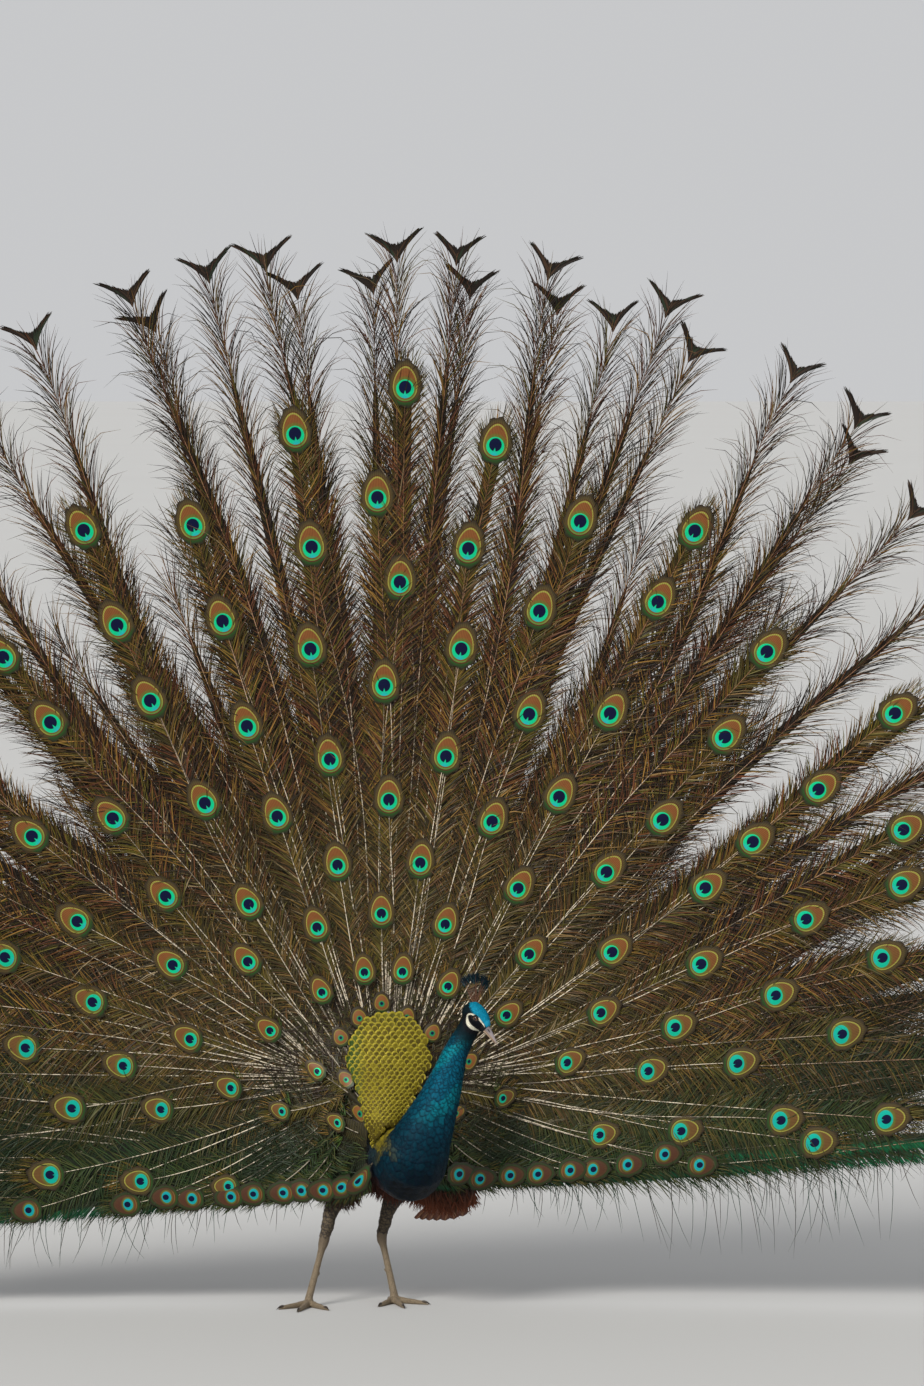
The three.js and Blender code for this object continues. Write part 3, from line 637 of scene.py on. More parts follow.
# the pale front of each shaft, and its keel along the back of the vane
def makeShafts():
    index = np.arange(featherCount)[:, None]
    end = featherReach + np.where(featherIsFork, shaft["pastFork"], -shaft["beforeEye"] * featherSize)
    start = shaftStarts(end)[:, None]
    material = shaftMaterial()
    for name, rows, sides, girth, forward in (
        ("train_shafts", shaft["rows"], shaft["sides"], shaft["girth"], shaft["front"]),
        ("train_keels", shaft["keelRows"], shaft["keelSides"], shaft["keelGirth"], shaft["keelBack"]),
    ):
        share = np.linspace(0, 1, rows)
        radius = start + (end[:, None] - start) * share
        middle, _, side, front = featherFrame(index, radius, featherLiftAt(index, radius) + forward)
        isFront = name == "train_shafts"
        points = tubes(middle, side, front, mix(*girth, share ** (0.8 if isFront else 1)), sides)
        if isFront:
            tint = mix(shaft["pale"] * 0.45, shaft["pale"], smooth(radius, 90, 260)[..., None])
            tint = mix(tint, shaft["tan"], smooth(radius, 520, 1000)[..., None])
            tint = mix(tint, shaft["brown"], 0.7 * smooth(radius, 1150, 1400)[..., None])
            tint = tint * luck.uniform(0.8, 1.1, (featherCount, 1, 1))
        else:
            tint = mix(shaft["pale"] * 0.8, shaft["brown"], smooth(radius, 300, 1000)[..., None])
        bake = stripSheet(index, 0.2 + 0.6 * np.arange(sides) / sides, radius[..., None])
        places = {"along": radius[..., None], "across": index[..., None]} if isFront else {}
        addGrids(name, points, material, "bronze", (), bake, wrap=True, tint=tint[..., None, :], **places)


# curved ribbons: they leave their roots at the lean from out towards side and curl on their way
def ribbons(root, out, side, front, length, lean, curl, width, segments=4, lift=0.0, droop=0.0, roll=0.5):
    count = len(root)
    share = np.linspace(0, 1, segments + 1)
    angle = lean[:, None] + curl[:, None] * (share[1:] + share[:-1]) / 2
    lift = np.broadcast_to(lift, count)[:, None, None]
    step = out[:, None] * np.cos(angle)[..., None] + side[:, None] * np.sin(angle)[..., None]
    step = (step + front[:, None] * lift) * (length[:, None] / segments)[..., None]
    path = np.concatenate([np.zeros((count, 1, 3)), np.cumsum(step, 1)], 1) + root[:, None]
    path[..., 2] -= np.broadcast_to(droop, count)[:, None] * share**2
    flat = unit(np.cross(unit(np.gradient(path, axis=1)), front[:, None]))
    rolled = luck.uniform(-roll, roll, count)[:, None, None]
    flat = flat * np.cos(rolled) + front[:, None] * np.sin(rolled)
    taper = np.interp(share, [0, 0.25, 0.7, 1], [0.75, 1, 0.8, 0.12])
    half = flat * (np.broadcast_to(width, count)[:, None] * taper)[..., None] / 2
    return np.stack([path - half, path + half], 2), share


barb = {
    "segments": 3, "width": 1.7, "perPiece": 32000,
    "length": 68, "lean": 44, "outerLean": 36, "forkLean": 15,
    # spans back from the tip: start, end and step
    "forkSpans": [(40, 300, 3.7), (300, 760, 2.9), (760, 1150, 5.5)],
    "lowSpans": [(20, 220, 3.4), (220, 500, 9.0)],
    "spans": [(16, 420, 2.5), (420, 720, 4.0), (720, 1000, 9.0)],
    "brown": paint(38, 26, 14), "red": paint(98, 57, 33), "tan": paint(132, 98, 42),
    "olive": paint(86, 78, 22), "green": paint(20, 58, 26), "grey": paint(74, 68, 36),
    "pale": paint(138, 120, 88),
}


def barbRoots():
    index, radius, side = [], [], []
    for n in range(featherCount):
        spans = barb["forkSpans" if featherIsFork[n] else "lowSpans" if featherIsLow[n] else "spans"]
        for start, end, step in spans:
            places = featherReach[n] - np.arange(start, end, step)
            places = places[places > max(90, featherStart[n])]
            for sign in (-1.0, 1.0):
                index.append(np.full(len(places), n))
                radius.append(places + luck.uniform(-step, step, len(places)) * 0.4)
                side.append(np.full(len(places), sign))
    return np.concatenate(index), np.concatenate(radius), np.concatenate(side)


def barbTint(radius, angle, fromEye, isLow, isFork, share):
    count = len(radius)
    tint = pickColours(count, barb, {"brown": 0.5, "red": 0.72, "tan": 0.88, "olive": 1})
    inner = fade(radius, 330, 700)
    tint = mix(tint, barb["grey"], 0.45 * inner[:, None])
    tint = np.where(luck.uniform(0, 1, count)[:, None] < mix(0.02, 0.05, inner)[:, None], barb["pale"], tint)
    tint = mix(tint, barb["olive"], 0.6 * (fade(fromEye, 40, 150) * ~isFork)[:, None])
    tint = mix(tint, barb["green"], 0.7 * np.maximum(smooth(abs(angle), 66, 90), isLow)[:, None])
    dimmed = mix(1, 0.66, isFork * fade(fromEye, 300, 700))[:, None]
    return (tint * luck.uniform(0.65, 1.35, (count, 1)) * dimmed)[:, None] * (1 - 0.35 * share[:, None])


# a tint for each point along a ribbon, and its root's place in the bake map
def addRibbons(name, points, tint, roots, material, slot, replaced=()):
    pieces = -(-len(points) // barb["perPiece"])
    ends = np.linspace(0, len(points), pieces + 1).astype(int)
    for n, part in enumerate(slice(*span) for span in zip(ends[:-1], ends[1:])):
        label = name if pieces == 1 else "%s_%d" % (name, n + 1)
        bake = patches(roots[part], points.shape[1], 2)
        own = replaced if n == 0 else ()
        addGrids(label, points[part], material, slot, own, bake, tint=tint[part][:, :, None])


def makeBarbs():
    index, radius, side = barbRoots()
    count = len(index)
    angle = featherAngleAt(index, radius)
    isFork, isLow = featherIsFork[index], featherIsLow[index]
    fromEye = featherReach[index] - radius
    lift = featherLiftAt(index, radius) + 1.4 + luck.uniform(-1.5, 1.5, count)
    root, out, across, front = featherFrame(index, radius, lift)
    outer = fade(fromEye, 300, 700)
    length = barb["length"] * featherSize[index] * mix(0.45, 1, smooth(radius, 100, 520))
    length = length * luck.uniform(0.8, 1.12, count) * mix(1.0, 1.5, outer * isFork)
    outerLean = np.where(isFork, barb["forkLean"], barb["outerLean"])
    lean = (mix(barb["lean"], outerLean, outer) + luck.normal(0, 6, count)) * degree
    lean = lean * mix(0.75, 1, smooth(fromEye, 0, 120)) * mix(1, 1.45, smooth(abs(angle), 62, 88) * ~isFork)
    # on the low eyes' outer side only short ones, so that the edge stays clean
    length = length * np.where(isLow & (side * angle > 0), 0.35, 1)
    curl = (mix(-14, 10, outer) + luck.normal(0, 10, count)) * degree
    isStray = luck.uniform(0, 1, count) < 0.14
    stray = np.where(isStray, luck.normal(55, 30, count), luck.normal(6, 10, count)) * degree
    curl = curl + stray * isFork * outer
    droop = (3 + 13 * np.abs(np.sin(angle * degree)) ** 2) * luck.uniform(0.2, 1.2, count)
    width = barb["width"] * mix(1.0, 0.78, outer * isFork) * luck.uniform(0.75, 1.2, count)
    points, share = ribbons(
        root, out, across * side[:, None], front, length, lean, curl, width,
        barb["segments"], lift=luck.uniform(-0.07, 0.1, count), droop=droop,
    )
    return points, barbTint(radius, angle, fromEye, isLow, isFork, share), fanSheet(radius, angle)


rootDown = {
    "count": 9000, "from": 40, "to": 400, "length": [26, 60], "over": 4,
    "brown": barb["brown"], "green": paint(24, 46, 24), "olive": paint(56, 54, 28),
}


# loose short barbs that cover the roots of the shafts
def makeRootDown():
    count = rootDown["count"]
    radius = mix(rootDown["from"], rootDown["to"], luck.uniform(0, 1, count) ** 0.75)
    angle = luck.uniform(fan["rightEdge"] + 3, fan["leftEdge"] - 2, count)
    # it stands further out low down beside the body, where the turned feathers cross
    over = rootDown["over"] * smooth(abs(angle), 48, 72) * fade(radius, 150, 290)
    root, out, across, front = fanFrame(radius, angle, luck.uniform(-1.0, 4.0, count) + over)
    side = luck.choice([-1.0, 1.0], count)
    length = luck.uniform(*rootDown["length"], count) * mix(0.6, 1, smooth(radius, 60, 240))
    points, share = ribbons(
        root, out, across * side[:, None], front, length, luck.uniform(8, 52, count) * degree,
        luck.normal(8, 16, count) * degree, barb["width"] * luck.uniform(0.7, 1.2, count), barb["segments"],
        lift=luck.uniform(-0.08, 0.1, count), droop=luck.uniform(0, 12, count),
    )
    tone = pickColours(count, rootDown, {"brown": 0.5, "olive": 1})
    tone = mix(tone, rootDown["green"], 0.75 * smooth(abs(angle), 55, 85)[:, None])
    tone = tone * luck.uniform(0.6, 1.3, (count, 1))
    return points, tone[:, None] * (1 - 0.3 * share[:, None]), fanSheet(radius, angle)


halo = {
    "barbs": 110, "width": 1.05, "length": [22, 44], "side": 20, "out": 33, "in": 26,
    "green": paint(50, 92, 36),
}


# the loose barbs that stand out round each eye
def makeHaloBarbs():
    count = len(eyes) * halo["barbs"]
    index = np.repeat(np.arange(len(eyes)), halo["barbs"])
    turn = luck.uniform(-155, 155, count) * degree
    size = eyeSize[index]
    edge = luck.uniform(0.85, 1.25, count)
    eggX = halo["side"] * np.sin(turn) * edge
    eggY = np.where(np.cos(turn) > 0, halo["out"], halo["in"]) * np.cos(turn) * edge
    radius = eyes[index, 0] + eggY * size
    angle = featherAngleAt(index, radius) + eggX * size / radius / degree
    root, out, across, front = fanFrame(radius, angle, eyeLift[index] + luck.uniform(-0.6, 1.2, count))
    aim = np.arctan2(eggX, eggY + 36)
    length = luck.uniform(*halo["length"], count) * size * mix(0.6, 1, (np.cos(turn) + 1) / 2)
    curl = luck.normal(0, 10, count) * degree - aim * 0.25
    points, share = ribbons(
        root, out, across, front, length, aim, curl, halo["width"] * luck.uniform(0.7, 1.2, count),
        barb["segments"], lift=luck.uniform(-0.1, 0.1, count), droop=luck.uniform(0, 5, count),
    )
    tint = pickColours(count, barb, {"olive": 0.5, "brown": 0.8, "tan": 1})
    tint = mix(tint, halo["green"], 0.7 * smooth(-eggY, 5, 25)[:, None])
    tint = mix(tint, barb["green"], 0.6 * eyeIsLow[index][:, None]) * luck.uniform(0.7, 1.3, (count, 1))
    return points, tint[:, None] * (1 - 0.4 * share[:, None]), fanSheet(radius, angle)


# x and y: place on the eye in mm, y outwards; rho: 1 on its rim; dull and broad: 1 on the lower ones
spot = {
    "values": {
        "x": 0.0, "y": 0.0, "rho": 0.0, "discSize": 1.0, "pupilSize": 1.0, "discAt": -6.2, "rimShare": 1.0,
        "dull": 0.0, "broad": 0.0,
        "field": paint(118, 71, 32), "disc": paint(0, 205, 140), "discLow": paint(40, 180, 190),
        "pupil": paint(2, 12, 52), "rim": paint(140, 136, 58), "around": paint(74, 62, 32),
    },
    "disc": (14.6, 15.2), "pupil": (10.3, 10.9), "pupilRise": 2.4, "broadDisc": 1.24, "broadPupil": 0.88,
    "dullField": paint(78, 66, 32), "dullDisc": paint(10, 166, 158),
    "ring": paint(92, 98, 34), "red": paint(122, 44, 22), "rimLow": paint(88, 128, 56),
    "line": paint(44, 36, 16), "aroundLow": paint(34, 70, 24), "edge": paint(40, 31, 21),
}


def makeEyeSpot():
    group, given, result = newGroup("eyeSpot", spot["values"], {"colour": "colour", "shine": "value"})
    x, y, rho = given["x"], given["y"], given["rho"]
    aside = maths(group, "ABSOLUTE", x)

    # share of the way from the middle to the outline of an oval
    def reach(centreY, oval, size, broad=1.0):
        a = maths(group, "DIVIDE", x, times(group, size, oval[0], broad))
        b = maths(group, "DIVIDE", minus(group, y, centreY), times(group, size, oval[1]))
        return maths(group, "SQRT", plus(group, times(group, a, a), times(group, b, b)))

    def cover(colour, share, tone, amount=1.0):
        return blend(group, times(group, share, amount), colour, tone)

    # the low ones have a broader disc with a smaller dark middle
    broadDisc = between(group, given["broad"], 0, 1, 1, spot["broadDisc"])
    broadPupil = between(group, given["broad"], 0, 1, 1, spot["broadPupil"])
    disc = reach(given["discAt"], spot["disc"], given["discSize"], broadDisc)
    pupilSize = times(group, given["discSize"], given["pupilSize"], broadPupil)
    pupilAt = plus(group, given["discAt"], times(group, pupilSize, spot["pupilRise"]))
    pupil = reach(pupilAt, spot["pupil"], pupilSize)
    isDisc = between(group, disc, 1.04, 0.96)
    glow = blend(group, between(group, y, -10, -22), given["disc"], given["discLow"])
    sheen = blend(group, between(group, aside, 10, 1), given["disc"], glow)
    sheen = cover(sheen, given["dull"], spot["dullDisc"], 0.8)
    # the dark middle has a notch at its lower end
    notch = between(group, minus(group, times(group, y, -1.0), times(group, aside, 3.2)), 9.2, 8.0)
    isPupil = times(group, between(group, pupil, 1.05, 0.95), notch)
    rim = blend(group, between(group, y, -10, -24), given["rim"], spot["rimLow"])
    around = blend(group, between(group, y, -16, -26), given["around"], spot["aroundLow"])
    around = blend(group, between(group, rho, 1.08, 1.36), around, spot["edge"])

    colour = cover(given["field"], given["dull"], spot["dullField"], 0.6)
    colour = blend(group, between(group, disc, 1.5, 1.06), colour, spot["ring"])
    below = times(group, between(group, y, -14, -22), between(group, disc, 1.04, 1.12))
    colour = cover(colour, below, spot["red"], 0.85)
    colour = cover(colour, isDisc, sheen)
    colour = cover(colour, isPupil, given["pupil"])
    colour = cover(colour, band(group, rho, (0.87, 0.9), (0.985, 0.96)), rim, given["rimShare"])
    colour = cover(colour, band(group, rho, (0.975, 1.0), (1.09, 1.03)), spot["line"], 0.8)
    colour = cover(colour, between(group, rho, 1.02, 1.08), around)
    # fine streaks that run out from the root of the eye
    streak = maths(group, "SINE", times(group, maths(group, "ARCTAN2", x, plus(group, y, 44.0)), 150.0))
    shade = between(group, streak, -1, 1, 0.72, 1.06)
    shaded = addNode(group, "ShaderNodeHueSaturation", {"Value": shade, "Color": colour})
    group.links.new(shaded.outputs[0], result["colour"])
    group.links.new(isDisc, result["shine"])
    return group


eyeSpot = makeEyeSpot()


def eyeMaterial(name, **values):
    material, tree, shader = newMaterial(name, Roughness=0.42)
    sources = {"x": "x", "y": "y", "rho": "rho", "discSize": "disc", "dull": "low", "broad": "low"}
    given = {key: readValue(tree, source) for key, source in sources.items()}
    shown = useGroup(tree, eyeSpot, **{**given, **values})
    tree.links.new(mottled(tree, shown["colour"], 200.0, 0.16), shader.inputs["Base Color"])
    tree.links.new(between(tree, shown["shine"], 0, 1, 0, 0.35), shader.inputs["Metallic"])
    return material


eye = {
    "levels": [0.0005, 0.25, 0.5, 0.7, 0.86, 0.94, 1.0, 1.06, 1.2, 1.34], "sides": 32,
    "half": 20.5, "out": 31.5, "in": 27, "front": 5.0, "dome": 1.3,
    # round feathers low down, with a smaller disc there and near the body
    "tall": ([35, 78], [1.0, 0.86]), "disc": ([40, 78], [1.0, 0.84]),
    "nearDisc": ([232, 300, 600], [0.8, 0.88, 1.0]),
    "kinds": {
        "train_eyes": {"looks": {}},
        "train_eyes_ring": {"tall": 0.8, "disc": 0.52, "looks": {
            "discAt": -2.0, "pupilSize": 0.82, "field": paint(120, 74, 34), "rim": paint(124, 116, 40),
            "disc": paint(10, 130, 90), "discLow": paint(20, 120, 110), "around": paint(50, 44, 22),
        }},
        "train_eyes_low": {"tall": 0.86, "disc": 0.68, "looks": {
            "discAt": -4.0, "broad": 1.0, "pupilSize": 1.03, "rimShare": 0.5, "field": paint(74, 44, 27),
            "rim": paint(66, 60, 30), "disc": paint(14, 160, 164), "discLow": paint(30, 170, 176),
            "around": paint(40, 56, 24),
        }},
    },
}


def eyeGrids(radius, angle, size, lift, tall):
    radius, angle, size, lift, tall = (values[:, None, None] for values in (radius, angle, size, lift, tall))
    turn, levels = roundTurn(eye["sides"]), np.array(eye["levels"])[:, None]
    ragged = 1 + 0.06 * np.sin(turn * 9) * (levels > 1.3)
    eggX = eye["half"] * np.sin(turn) * (1 - 0.12 * np.cos(turn)) * levels * ragged + 0 * tall
    eggY = np.where(np.cos(turn) > 0, eye["out"], eye["in"]) * np.cos(turn) * levels * tall * ragged
    # the bowl drops steeply near the root, so a degree is worth more there, and more on the upper side
    half = eye["half"] * size / radius / degree
    reach = [fanPoint(radius, angle + half * side) - fanPoint(radius, angle) for side in (-1, 1)]
    stretch = [np.linalg.norm(aside, axis=-1) / (half * degree * radius) for aside in reach]
    far = radius + eggY * size
    around = angle + eggX * size / np.where(eggX < 0, *stretch) / far / degree
    dome = eye["dome"] * (1 - np.clip(levels, 0, 1) ** 2) - 2.6 * np.clip(levels - 1.06, 0, 1)
    points = fanPoint(far, around, lift + eye["front"] + dome)
    # the bake map holds one square for each eye
    side = math.ceil(math.sqrt(len(radius)))
    cell = np.arange(len(radius))
    corner = sheet(cell % side, cell // side)[:, None, None]
    spread = sheet(eggX / 40, eggY / 62) * 0.4508 / eye["levels"][-1]
    bake = np.clip((corner + 0.5 + spread) / side, 0.0005, 0.9995)
    return points, bake, {"x": eggX, "y": eggY, "rho": levels}


def makeEyes():
    angle = featherAngleAt(np.arange(len(eyes)), eyes[:, 0])
    away = abs(eyes[:, 1])
    isGrown = ~eyeIsLow & ~eyeIsRing
    grownTall = np.interp(away, *eye["tall"])
    grownDisc = np.interp(away, *eye["disc"]) * np.interp(eyes[:, 0], *eye["nearDisc"])
    for (name, kind), chosen in zip(eye["kinds"].items(), (isGrown, eyeIsRing, eyeIsLow)):
        tall, disc = kind.get("tall", grownTall) + 0 * away, kind.get("disc", grownDisc) + 0 * away
        points, bake, places = eyeGrids(*(v[chosen] for v in (eyes[:, 0], angle, eyeSize, eyeLift, tall)))
        disc, dull = (v[chosen][:, None, None] for v in (disc, smooth(away, 50, 82) * isGrown))
        material = eyeMaterial(name, **kind["looks"])
        addGrids(name, points, material, "bronze", (), bake, wrap=True, **places, disc=disc, low=dull)


makeVanes()
makeShafts()
barbMaterial = tintMaterial("barb", 0.35, 160.0, Roughness=0.5)
bodyBarbs, haloBarbs = makeBarbs(), makeHaloBarbs()
addRibbons("train_barbs", *bodyBarbs, barbMaterial, "bronze")
addRibbons("train_halo", *haloBarbs, barbMaterial, "bronze")
addRibbons("train_root_down", *makeRootDown(), barbMaterial, "bronze")
makeEyes()


# the middle of the body, from the root of the tail to the head
bodyLine = np.array([
    [-9, 226, 322], [-6, 190, 312], [1, 130, 296], [13, 65, 280], [27, 5, 266], [39, -50, 256],
    [47, -95, 262], [58, -117, 288], [71, -122, 318], [91, -121, 365], [107, -113, 408], [121, -104, 449],
    [139, -98, 482], [151, -99, 507],
], float)
bodySide = unit([-0.98, -0.17, 0])
thighs = {
    "right": np.array([[-24, 14, 238], [-60, 24, 206], [-91, 31, 172], [-103, 31, 130]], float),
    "left": np.array([[46, 22, 236], [28, 44, 206], [7, 66, 170], [-4, 77, 131]], float),
}


# a place on a line, or a direction along it, where the station counts the line's points
def onLine(line, station):
    return np.stack([np.interp(station, np.arange(len(line)), line[:, k]) for k in range(3)], -1)


# the station nearest to each point, how far away it is, and the direction there
def nearestOnLine(points, line):
    start, step = line[:-1], np.diff(line, axis=0)
    share = np.einsum("psk,sk->ps", points[:, None] - start[None], step) / (step**2).sum(1)
    share = np.clip(share, 0, 1)
    gap = np.linalg.norm(points[:, None] - (start[None] + share[..., None] * step[None]), axis=-1)
    best, row = gap.argmin(1), np.arange(len(points))
    station = best + share[row, best]
    return station, gap[row, best], unit(onLine(unit(np.gradient(line, axis=0)), station))


def vertexNormals(points, faces):
    corner = points[faces]
    normal = np.cross(corner[:, 2] - corner[:, 0], corner[:, -1] - corner[:, 1])
    weights = [np.repeat(normal[:, k], faces.shape[1]) for k in range(3)]
    return unit(np.stack([np.bincount(faces.ravel(), weight, len(points)) for weight in weights], -1))


# moves points towards their neighbours and part of the way back, which takes facets off without shrinking
def relax(points, faces, rounds, weight):
    edge = np.concatenate([faces[:, [k, (k + 1) % faces.shape[1]]] for k in range(faces.shape[1])])
    edge = np.concatenate([edge, edge[:, ::-1]])
    neighbours = np.maximum(np.bincount(edge[:, 0], minlength=len(points)), 1)[:, None]
    for _ in range(rounds):
        for step in (0.52, -0.54):
            total = [np.bincount(edge[:, 0], points[edge[:, 1], k], len(points)) for k in range(3)]
            points = points + (np.stack(total, -1) / neighbours - points) * weight * step
    return points


# one closed form round some of the solids, relaxed and drawn in by a depth
def formOf(nodes, voxel, rounds, weightAt, depthAt):
    points, faces, start = [], [], 0
    for name in nodes:
        part, triangles = solidMesh(name)
        points.append(part)
        faces.append(triangles + start)
        start += len(part)
    mesh = bpy.data.meshes.new("form")
    mesh.from_pydata(np.concatenate(points).tolist(), [], np.concatenate(faces).tolist())
    carrier = bpy.data.objects.new("form", mesh)
    bpy.context.scene.collection.objects.link(carrier)
    carrier.modifiers.new("weld", "WELD").merge_threshold = 0.00005
    remesh = carrier.modifiers.new("remesh", "REMESH")
    remesh.mode, remesh.voxel_size, remesh.adaptivity = "VOXEL", voxel / 1000, 0.0
    made = carrier.evaluated_get(bpy.context.evaluated_depsgraph_get()).to_mesh()
    flat = np.empty(len(made.vertices) * 3, np.float32)
    made.vertices.foreach_get("co", flat)
    quads = np.empty(len(made.loops), np.int32)
    made.loops.foreach_get("vertex_index", quads)
    points, faces = flat.reshape(-1, 3).astype(float) * 1000 - shift, quads.reshape(-1, 4)
    bpy.data.objects.remove(carrier)
    points = relax(points, faces, rounds, weightAt(points))
    points = points - vertexNormals(points, faces) * depthAt(points)[:, None]
    points[:, 2] = np.maximum(points[:, 2], 0.05)
    return {"points": points, "faces": faces, "normals": vertexNormals(points, faces)}


# where points lie from the middle of the head: along the gaze, to the right, up
def headPlace(points):
    away = points - np.array(head["middle"])
    return away @ gaze, away @ headRight, away @ headUp


def legShare(points):
    return fade(points[:, 2], 120, 150)


def headShare(points):
    along, right, up = headPlace(points)
    return fade(np.sqrt(along**2 + right**2 + up**2), 30, 44) * (points[:, 2] > 440)


# coat: how deep the skin lies under the feathers' outside
skin = {
    "voxel": 2.1, "rounds": 34, "coat": 3.2, "headCoat": 0.9, "legCoat": 0.25, "legCalm": 0.86,
    "headCalm": 0.55,
}


def skinWeight(points):
    return (1 - skin["legCalm"] * legShare(points) - skin["headCalm"] * headShare(points))[:, None]


def skinDepth(points):
    return mix(mix(skin["coat"], skin["legCoat"], legShare(points)), skin["headCoat"], headShare(points))


flesh = ["trunk", "neck_lower", "neck_upper", "head"]
flesh += [part + side for part in ("thigh_", "shank_", "foot_") for side in ("right", "left")]
skinForm = formOf(flesh, skin["voxel"], skin["rounds"], skinWeight, skinDepth)

# sheen is a painted highlight, laid on the lit side of the neck in bodyColour
plumage = {
    "crown": paint(6, 132, 164), "throat": paint(4, 34, 40), "nape": paint(6, 22, 26),
    "neck": paint(0, 86, 110), "sheen": paint(4, 142, 152), "breast": paint(0, 43, 57),
    "belly": paint(2, 9, 14), "black": paint(16, 16, 18), "rump": paint(62, 52, 34),
    "flank": paint(30, 46, 36), "thigh": paint(104, 92, 74), "thighDark": paint(58, 50, 42),
    "white": paint(230, 226, 204), "gold": paint(136, 122, 34), "rust": paint(92, 44, 26),
    "shin": paint(122, 108, 88), "hock": paint(98, 86, 70), "seam": paint(52, 44, 36),
}


# the colour of the plumage, and of the bare legs, at points of the body: layers from the breast outwards,
# with a painted highlight and painted shade on the neck and breast
def bodyColour(points, normals):
    station, _, _ = nearestOnLine(points, bodyLine)
    side, upwards, height = normals @ bodySide, normals[:, 2], points[:, 2]
    under = mix(plumage["rust"], plumage["belly"], smooth(station, 4.6, 5.8)[:, None])
    # painted highlight: the sheen tone is laid in a band on the upper neck that moves with the way the
    # surface faces, in place of light on its lit side
    streak = smooth(np.sin(station * 2.3 + side * 2.6), 0.1, 1.0) * smooth(station, 8.2, 9.4)
    layers = [
        (plumage["neck"], smooth(station, 7.6, 10.2)),
        (plumage["sheen"], 0.55 * streak),
        # painted shade: the dark breast blue is laid over the neck and breast where they face the bird's
        # left, the side away from the key light
        (plumage["breast"], 0.55 * smooth(-side, 0.35, 0.95) * smooth(station, 7.5, 9)),
        (under, smooth(-upwards, -0.1, 0.75) * fade(station, 7.0, 8.6)),
        (plumage["gold"], smooth(upwards, 0.1, 0.6) * fade(station, 6.6, 7.6)),
        (plumage["flank"], fade(station, 3.6, 5.4) * fade(upwards, 0.3, 0.8)),
        (plumage["rump"], fade(station, 1.4, 2.8)),
    ]
    for line in thighs.values():
        along, away, _ = nearestOnLine(points, line)
        tone = mix(plumage["thighDark"], plumage["thigh"], smooth(along, 0.8, 2.4)[:, None])
        layers.append((tone, fade(away, 40, 54) * smooth(along, 0.35, 0.9) * (height < 226)))
    toHead = np.linalg.norm(points - np.array(head["middle"]), axis=-1)
    layers += [
        (mix(plumage["shin"], plumage["hock"], smooth(height, 70, 120)[:, None]), fade(height, 124, 138)),
        (plumage["throat"], 0.85 * fade(toHead, 34, 62) * (height > 400)),
        (headColour(points), headShare(points)),
    ]
    colour = plumage["breast"][None]
    for tone, share in layers:
        colour = mix(colour, tone, share[:, None])
    return colour


# blue above a line from the nape down to the forehead, near black below it
def headColour(points):
    along, _, up = headPlace(points)
    return mix(plumage["nape"], plumage["crown"], smooth(up + 0.3 * (along - 5), 4.5, 9.5)[:, None])


# 1 inside an oval on the side of the head
def spotMask(along, up, oval):
    a, b = along - oval["middle"][0], up - oval["middle"][1]
    c, s = math.cos(oval["turn"] * degree), math.sin(oval["turn"] * degree)
    long, short = oval["size"]
    return fade(((a * c + b * s) / long) ** 2 + ((b * c - a * s) / short) ** 2, 0.7, 1.25)


# where points lie on the head, for the marks of the face
def facePlaces(points):
    along, right, up = (value.reshape(points.shape[:-1]) for value in headPlace(points.reshape(-1, 3)))
    return {"faceAlong": along, "faceSide": np.abs(right), "faceUp": up}


# ovals on the side of the head, each over the ones before
marks = {
    "chin": {"middle": (4.0, -6.0), "size": (25.0, 15.0), "turn": -4, "tone": "black"},
    "ring": {"middle": (3.8, -2.4), "size": (19.6, 12.0), "turn": -7, "tone": "white"},
    "orbit": {"middle": (6.2, -1.7), "size": (19.2, 7.9), "turn": -7, "tone": "black"},
    "lore": {"middle": (22.0, -6.0), "size": (9.0, 7.5), "turn": -12, "tone": "black"},
}


# a thin line of white skin above the eye and a broader one below it, on black
def makeFaceMarks():
    group, given, result = newGroup(
        "faceMarks", {"colour": (0, 0, 0), "along": 99.0, "side": 0.0, "up": 99.0}, {"colour": "colour"},
    )
    wander = times(group, minus(group, noise(group, 700.0, 2.0), 0.5), 1.6)
    onSide = band(group, given["side"], (2.6, 4.2), (24.0, 21.0))
    colour = given["colour"]
    for mark in marks.values():
        c, s = math.cos(mark["turn"] * degree), math.sin(mark["turn"] * degree)
        long, tall = mark["size"]
        a = plus(group, minus(group, given["along"], mark["middle"][0]), wander)
        b = plus(group, minus(group, given["up"], mark["middle"][1]), wander)
        p = plus(group, times(group, a, c / long), times(group, b, s / long))
        q = minus(group, times(group, b, c / tall), times(group, a, s / tall))
        inside = between(group, plus(group, times(group, p, p), times(group, q, q)), 1.12, 0.88)
        colour = blend(group, times(group, inside, onSide), colour, plumage[mark["tone"]])
    group.links.new(colour, result["colour"])
    return group


faceMarks = makeFaceMarks()


def faceTint(tree):
    places = {key: readValue(tree, "face" + key.capitalize()) for key in ("along", "side", "up")}
    return useGroup(tree, faceMarks, colour=readColour(tree, "tint"), **places)["colour"]


